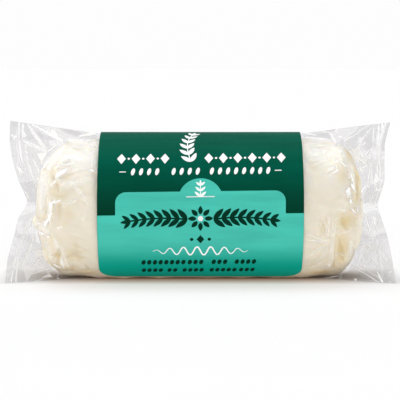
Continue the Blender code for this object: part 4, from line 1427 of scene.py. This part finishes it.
def white_print():
    """The white ornaments, each a list of (tree, flat shape, values)."""
    low, high = SPRIG_Y
    sprig = zip([SPRIG_X + bend for bend in SPRIG_BEND], (low, 0.5 * (low + high), high))
    lozenges = []
    dots = []
    for x, count in LOZENGE_GROUPS:
        lozenges.append(row(flat_lozenge(*LOZENGE_SIZE), x, LOZENGE_Y, count, LOZENGE_STEP))
        dots.append(row(flat_disc(BETWEEN_DOT), x + LOZENGE_STEP / 2, LOZENGE_Y, count - 1, LOZENGE_STEP))
    seeds = [row(flat_disc(*SEED_SIZE), x, SEED_Y, n, SEED_STEP, Turn=SEED_TURN) for x, n in SEED_GROUPS]
    dashes = row(flat_bar(*DASH_SIZE), -DASH_X, SEED_Y, 2, 2 * DASH_X)
    plant = garland(PLANT_LEAF, [(0.0, y) for y in PLANT_Y], PLANT_LEAVES)
    return {
        "sprig": [garland(SPRIG_LEAF, sprig, SPRIG_LEAVES)],
        "lozenge_row": lozenges + dots,
        "seed_row": [*seeds, dashes],
        "small_plant": [plant, row(flat_bar(*PLANT_GROUND), 0.0, PLANT_Y[0])],
        "flourish": [row(flat_flourish(**FLOURISH), 0.0, FLOURISH_Y)],
    }


def dark_print():
    """The dark ornaments, each a list of (tree, flat shape, values)."""
    branches = []
    for side in (-1, 1):
        places = zip([side * x for x in GARLAND_X], GARLAND_Y)
        branches.append(garland(GARLAND_LEAF, places, GARLAND_LEAVES))
    rosette = {"Petals": 8, "Centre": (0.0, ROSETTE_Y, 0.0), "Ring Radius": ROSETTE_RADIUS}
    petals = ("rosette_round_log", flat_leaf(*ROSETTE_PETAL), rosette)
    mark = row(flat_lozenge(*MARK_LOZENGE), 0.0, MARK_Y)
    seeds = [
        row(flat_disc(*DARK_SEED), x, y, count, DARK_SEED_STEP, Turn=DARK_SEED_TURN)
        for y, groups in DARK_SEED_ROWS
        for x, count in groups
    ]
    return {
        "garland": branches,
        "rosette": [petals, row(flat_disc(ROSETTE_DOT), 0.0, ROSETTE_Y)],
        "diamond_mark": [mark, row(flat_disc(MARK_DOT), -MARK_DOT_X, MARK_Y, 2, 2 * MARK_DOT_X)],
        "seed_lines": seeds,
    }


def print_ornaments(ornaments, ink, wave):
    """Lays each named ornament on the label in one ink."""
    wrap = {"Skew": PRINT_TILT, "Wave Height": wave}
    for name, parts in ornaments.items():
        meshes = [run_tree(tree, shape, {**wrap, **values}, ink) for tree, shape, values in parts]
        finish_print(name, meshes)


# The studio

# Soft boxes of the studio, in degrees: (azimuth, elevation, half width, half height, strength)
SOFT_BOXES = (
    (-78, 18, 16, 26, 2.6), (60, 20, 8, 26, 3.0), (0, 9, 62, 14, 1.82), (170, 66, 34, 20, 1.6),
    (180, 10, 75, 18, 0.9),
)
KEY_FROM = (-0.30, 0.30, 1.30)
KEY_ANGLE = math.radians(42)
WHITE = 0.985
FLOOR_HALF = 12.0
# A painted shadow under the pack's front: the floor's warmer tint there, and where its glow fades
PAINTED_SHADOW_TINT = (1.05, 0.72, 0.45)
UNDER_GLOW = 0.03
PAINTED_SHADOW_EDGE = (0.003, 0.016)
GLOW_HALF_LENGTH = 0.040
WARM_BESIDE = (0.055, 0.015)
WARM_FRONT = (-0.034, -0.004)
WARM_BACK = (0.020, 0.008)
FLOOR_GRAIN = 40.0
FLOOR_GRAIN_TONE = (0.995, 1.005)
BOX_EDGE = (0.85, 1.15)
ROOM_RISE = 0.8
SENSOR_WIDTH = 36.0
CAMERA_TARGET = Vector((-0.00012, 0.0, 0.02095))


def far_light(nodes, direction, azimuth, elevation, half_width, half_height, strength):
    """What a far soft box adds to the room's light. Its place is given in degrees from the log's front."""
    turn, rise = math.radians(azimuth), math.radians(elevation)
    ahead = Vector((math.sin(turn) * math.cos(rise), -math.cos(turn) * math.cos(rise), math.sin(rise)))
    side = Vector((math.cos(turn), math.sin(turn), 0.0))
    forward = nodes.dot(direction, ahead)
    total = nodes.math("MULTIPLY", nodes.math("GREATER_THAN", forward, 0.0), strength)
    for axis, half in ((side, half_width), (ahead.cross(side), half_height)):
        reach = nodes.math("ABSOLUTE", nodes.math("DIVIDE", nodes.dot(direction, axis), forward))
        edge = math.tan(math.radians(half))
        inner, outer = BOX_EDGE[0] * edge, BOX_EDGE[1] * edge
        total = nodes.math("MULTIPLY", total, nodes.remap(reach, inner, outer, 1.0, 0.0, "SMOOTHSTEP"))
    return total


def studio_world(settings):
    """White to the camera, and a dim room with soft boxes to everything else."""
    world = bpy.data.worlds.new("studio")
    world.use_nodes = True
    world.node_tree.nodes.clear()
    nodes = Nodes(world.node_tree)
    direction = nodes.add("ShaderNodeTexCoord").outputs["Generated"]
    up = nodes.axes(direction)["Z"]
    strength = nodes.remap(up, 0.0, ROOM_RISE, settings.room_low, settings.room_high)
    for box in SOFT_BOXES:
        strength = nodes.math("ADD", strength, far_light(nodes, direction, *box))
    room = nodes.add("ShaderNodeBackground", {"Color": WHITE_LIGHT, "Strength": strength})
    white = nodes.add("ShaderNodeBackground", {"Color": WHITE_LIGHT, "Strength": WHITE})
    seen = nodes.add("ShaderNodeLightPath").outputs["Is Camera Ray"]
    nodes.add("ShaderNodeOutputWorld", {"Surface": nodes.mix(seen, room, white)})
    return world


def floor_piece(settings):
    """A white floor that glows a little. Close under the pack's front it glows less and warmer and its
    colour is warmer: a painted contact shadow.
    """
    material, nodes = new_material("white_floor")
    place = nodes.place()
    grain = nodes.remap(nodes.noise(place, FLOOR_GRAIN, 3.0), 0.3, 0.7, *FLOOR_GRAIN_TONE)
    paper = opaque([settings.floor_white] * 3)
    paper = nodes.blend(1.0, paper, nodes.vector(grain, grain, grain), "MULTIPLY")
    axes = nodes.axes(place)
    across = nodes.math("ABSOLUTE", axes["X"])
    past_end = nodes.math("SUBTRACT", across, GLOW_HALF_LENGTH)
    away = nodes.math("MAXIMUM", nodes.math("ABSOLUTE", axes["Y"]), past_end)
    beside = nodes.remap(across, *WARM_BESIDE, kind="SMOOTHSTEP")
    ahead = nodes.math("MULTIPLY", nodes.remap(axes["Y"], *WARM_FRONT), nodes.remap(axes["Y"], *WARM_BACK))
    shadow_tint_share = nodes.math("MULTIPLY", beside, ahead)
    shadow_tint = opaque(PAINTED_SHADOW_TINT)
    paper = nodes.blend(shadow_tint_share, paper, nodes.blend(1.0, paper, shadow_tint, "MULTIPLY"))
    base = nodes.add("ShaderNodeBsdfDiffuse", {"Color": paper})
    # Less glow, and warmer glow, close under the pack's front: painted contact shadow
    strength = nodes.remap(away, *PAINTED_SHADOW_EDGE, UNDER_GLOW, settings.floor_glow)
    under = nodes.math("MULTIPLY", nodes.remap(away, *PAINTED_SHADOW_EDGE, 1.0, 0.0), shadow_tint_share)
    glow_colour = nodes.blend(under, WHITE_LIGHT, shadow_tint)
    glow = nodes.add("ShaderNodeEmission", {"Color": glow_colour, "Strength": strength})
    nodes.surface(nodes.add("ShaderNodeAddShader", {0: base, 1: glow}))
    half = FLOOR_HALF
    corners = [(-half, -half, 0), (half, -half, 0), (half, half, 0), (-half, half, 0)]
    return new_piece("floor", corners, [(0, 1, 2, 3)], material, False)


def add_key(settings):
    """A wide, soft sun from above and behind, that no surface mirrors."""
    light = bpy.data.lights.new("key", "SUN")
    light.energy = settings.key
    light.angle = KEY_ANGLE
    lamp = show("key", light)
    lamp.visible_glossy = False
    lamp.rotation_mode = "QUATERNION"
    lamp.rotation_quaternion = (-Vector(KEY_FROM)).to_track_quat("-Z", "Y")


def add_camera(settings):
    """A long lens in front of the label, looking slightly down."""
    view = bpy.data.cameras.new("camera")
    view.sensor_width = SENSOR_WIDTH
    view.lens = settings.lens
    camera = show("camera", view)
    direction = Vector((0, -math.cos(settings.tilt), math.sin(settings.tilt)))
    camera.location = CAMERA_TARGET + settings.distance * direction
    camera.rotation_euler = (math.pi / 2 - settings.tilt, 0, 0)
    bpy.context.scene.camera = camera


# Settings


def colour_setting(name, description, default):
    """A colour that a user may change."""
    look = {"subtype": "COLOR", "min": 0.0, "max": 1.0}
    return FloatVectorProperty(name=name, description=description, default=default, **look)


def length_setting(name, description, default):
    """A length in metres that a user may change."""
    look = {"subtype": "DISTANCE", "unit": "LENGTH", "precision": 5}
    return FloatProperty(name=name, description=description, default=default, **look)


def number_setting(name, description, default, subtype="NONE"):
    """A plain number or an angle that a user may change."""
    return FloatProperty(name=name, description=description, default=default, subtype=subtype)


class CheeseSettings(bpy.types.PropertyGroup):
    # The upper cream is lighter because it holds painted light on the top of the log
    cream: colour_setting("Cream", "Colour of the upper part of the cheese", (0.99, 0.945, 0.845))
    low_cream: colour_setting("Low cream", "Colour of most of the cheese", (0.905, 0.84, 0.71))
    # The yellow also paints shade in the hollows of the cheese
    yellow: colour_setting("Yellow", "Colour of the patches in hollows and at the ends", (0.77, 0.62, 0.32))


class FilmSettings(bpy.types.PropertyGroup):
    tint: colour_setting("Tint", "Light that one layer of the film lets through", (0.896, 0.891, 0.898))
    # This whiteness also scales the film's painted highlights, glints and sheens
    whiteness: number_setting("Crease white", "How white creases of the film are", 1.0)
    mirror: number_setting("Mirror", "Share of light that the film mirrors", 0.070)
    haze: number_setting("Haze", "Roughness of the film's mirror", 0.07)


class LabelSettings(bpy.types.PropertyGroup):
    dark_green: colour_setting("Dark green", "Upper colour field", (0.0005, 0.088, 0.054))
    # The shaded green is the green with painted shade beside the tab
    shaded_green: colour_setting("Deep green", "Upper colour field beside the tab", (0.0001, 0.036, 0.018))
    teal: colour_setting("Teal", "Lower colour field", (0.066, 0.505, 0.412))
    # The shaded teal is the teal with painted shade at its low edge
    shaded_teal: colour_setting("Deep teal", "Lower colour field at its low edge", (0.001, 0.325, 0.245))
    white_ink: colour_setting("White ink", "Light ornaments", (0.95, 0.96, 0.95))
    dark_ink: colour_setting("Dark ink", "Dark ornaments", (0.001, 0.030, 0.016))
    wave: length_setting("Wave height", "Height of the slow waves in the label", 0.00008)


class StudioSettings(bpy.types.PropertyGroup):
    key: number_setting("Key", "Strength of the sun-like key light", 1.35)
    room_low: number_setting("Room low", "Light of the room near the floor", 0.05)
    room_high: number_setting("Room high", "Light of the room overhead", 0.20)
    floor_white: number_setting("Floor white", "Lightness of the floor", 0.32)
    floor_glow: number_setting("Floor glow", "Light that the floor gives out", 0.604)
    lens: number_setting("Lens", "Focal length in millimetres", 143.0)
    distance: length_setting("Distance", "From the camera to the middle of the pack", 0.4325)
    tilt: number_setting("Tilt", "Angle looked down by", math.radians(5), "ANGLE")


class PackSettings(bpy.types.PropertyGroup):
    cheese: PointerProperty(type=CheeseSettings)
    film: PointerProperty(type=FilmSettings)
    label: PointerProperty(type=LabelSettings)
    studio: PointerProperty(type=StudioSettings)


# Operators


class PackOperator:
    """What the operators share: the settings of the scene."""

    bl_options = {"REGISTER", "UNDO"}

    @property
    def settings(self):
        return bpy.context.scene.cheese_pack


class CHEESE_OT_studio(PackOperator, bpy.types.Operator):
    """Add the pale floor, the lights and the camera"""

    bl_idname = "cheese_pack.add_studio"
    bl_label = "Add studio"

    def execute(self, context):
        settings = self.settings.studio
        context.scene.view_settings.view_transform = "Standard"
        context.scene.world = studio_world(settings)
        floor_piece(settings)
        add_key(settings)
        add_camera(settings)
        return {"FINISHED"}


class CHEESE_OT_cheese(PackOperator, bpy.types.Operator):
    """Add the log of fresh cheese that fills the bag"""

    bl_idname = "cheese_pack.add_cheese"
    bl_label = "Add cheese"

    def execute(self, context):
        settle(cheese_mesh(cheese_material(self.settings.cheese)), "film_bag")
        return {"FINISHED"}


class CHEESE_OT_film(PackOperator, bpy.types.Operator):
    """Add the clear film bag with its crumpled, sealed ends"""

    bl_idname = "cheese_pack.add_film"
    bl_label = "Add film"

    def execute(self, context):
        settle(film_mesh(film_material(self.settings.film)), "film_bag")
        return {"FINISHED"}


class CHEESE_OT_label(PackOperator, bpy.types.Operator):
    """Add the wrap label: its dark sheet and its lighter field with a tab and an arch"""

    bl_idname = "cheese_pack.add_label"
    bl_label = "Add label"

    def execute(self, context):
        settings = self.settings.label
        for build_tree in (wrap_tree, sheet_tree, row_tree, garland_tree, rosette_tree):
            build_tree()
        wave = {"Wave Height": settings.wave}
        green = printed_film("dark_green_film", settings.dark_green, settings.shaded_green, GREEN_SHADE_FADE)
        teal = printed_film("teal_film", settings.teal, settings.shaded_teal, TEAL_SHADE_FADE)
        sheet = run_tree("sheet_round_log", label_mesh(), wave, green)
        finish_print("wrap_label", [sheet], node="label")
        fields = [run_tree("sheet_round_log", part, wave, teal) for part in panel_slabs()]
        finish_print("teal_field", fields)
        return {"FINISHED"}


class CHEESE_OT_white_print(PackOperator, bpy.types.Operator):
    """Add the white ornaments: a sprig, rows of lozenges and seeds, a small plant and a flourish"""

    bl_idname = "cheese_pack.add_white_print"
    bl_label = "Add white print"

    def execute(self, context):
        settings = self.settings.label
        print_ornaments(white_print(), printed_film("white_ink", settings.white_ink), settings.wave)
        return {"FINISHED"}


class CHEESE_OT_dark_print(PackOperator, bpy.types.Operator):
    """Add the dark ornaments: a leafy garland with a rosette, and small rows below it"""

    bl_idname = "cheese_pack.add_dark_print"
    bl_label = "Add dark print"

    def execute(self, context):
        settings = self.settings.label
        print_ornaments(dark_print(), printed_film("dark_ink", settings.dark_ink), settings.wave)
        return {"FINISHED"}


STEPS = (
    CHEESE_OT_studio,
    CHEESE_OT_cheese,
    CHEESE_OT_film,
    CHEESE_OT_label,
    CHEESE_OT_white_print,
    CHEESE_OT_dark_print,
)


class CHEESE_PT_sidebar(bpy.types.Panel):
    """Lists the steps and the settings of the pack"""

    bl_idname = "CHEESE_PT_sidebar"
    bl_label = "Cheese pack"
    bl_space_type = "VIEW_3D"
    bl_region_type = "UI"
    bl_category = "Cheese pack"

    def draw(self, context):
        layout = self.layout
        for step in STEPS:
            layout.operator(step.bl_idname)
        pack = context.scene.cheese_pack
        for group in (pack.cheese, pack.film, pack.label, pack.studio):
            box = layout.box()
            for setting in group.__annotations__:
                box.prop(group, setting)


GROUPS = (CheeseSettings, FilmSettings, LabelSettings, StudioSettings, PackSettings)
CLASSES = (*GROUPS, *STEPS, CHEESE_PT_sidebar)


def register():
    for each in CLASSES:
        bpy.utils.register_class(each)
    bpy.types.Scene.cheese_pack = PointerProperty(type=PackSettings)


def unregister():
    del bpy.types.Scene.cheese_pack
    for each in reversed(CLASSES):
        bpy.utils.unregister_class(each)


def main():
    register()
    for step in STEPS:
        family, name = step.bl_idname.split(".")
        getattr(getattr(bpy.ops, family), name)()


if __name__ == "__main__":
    main()
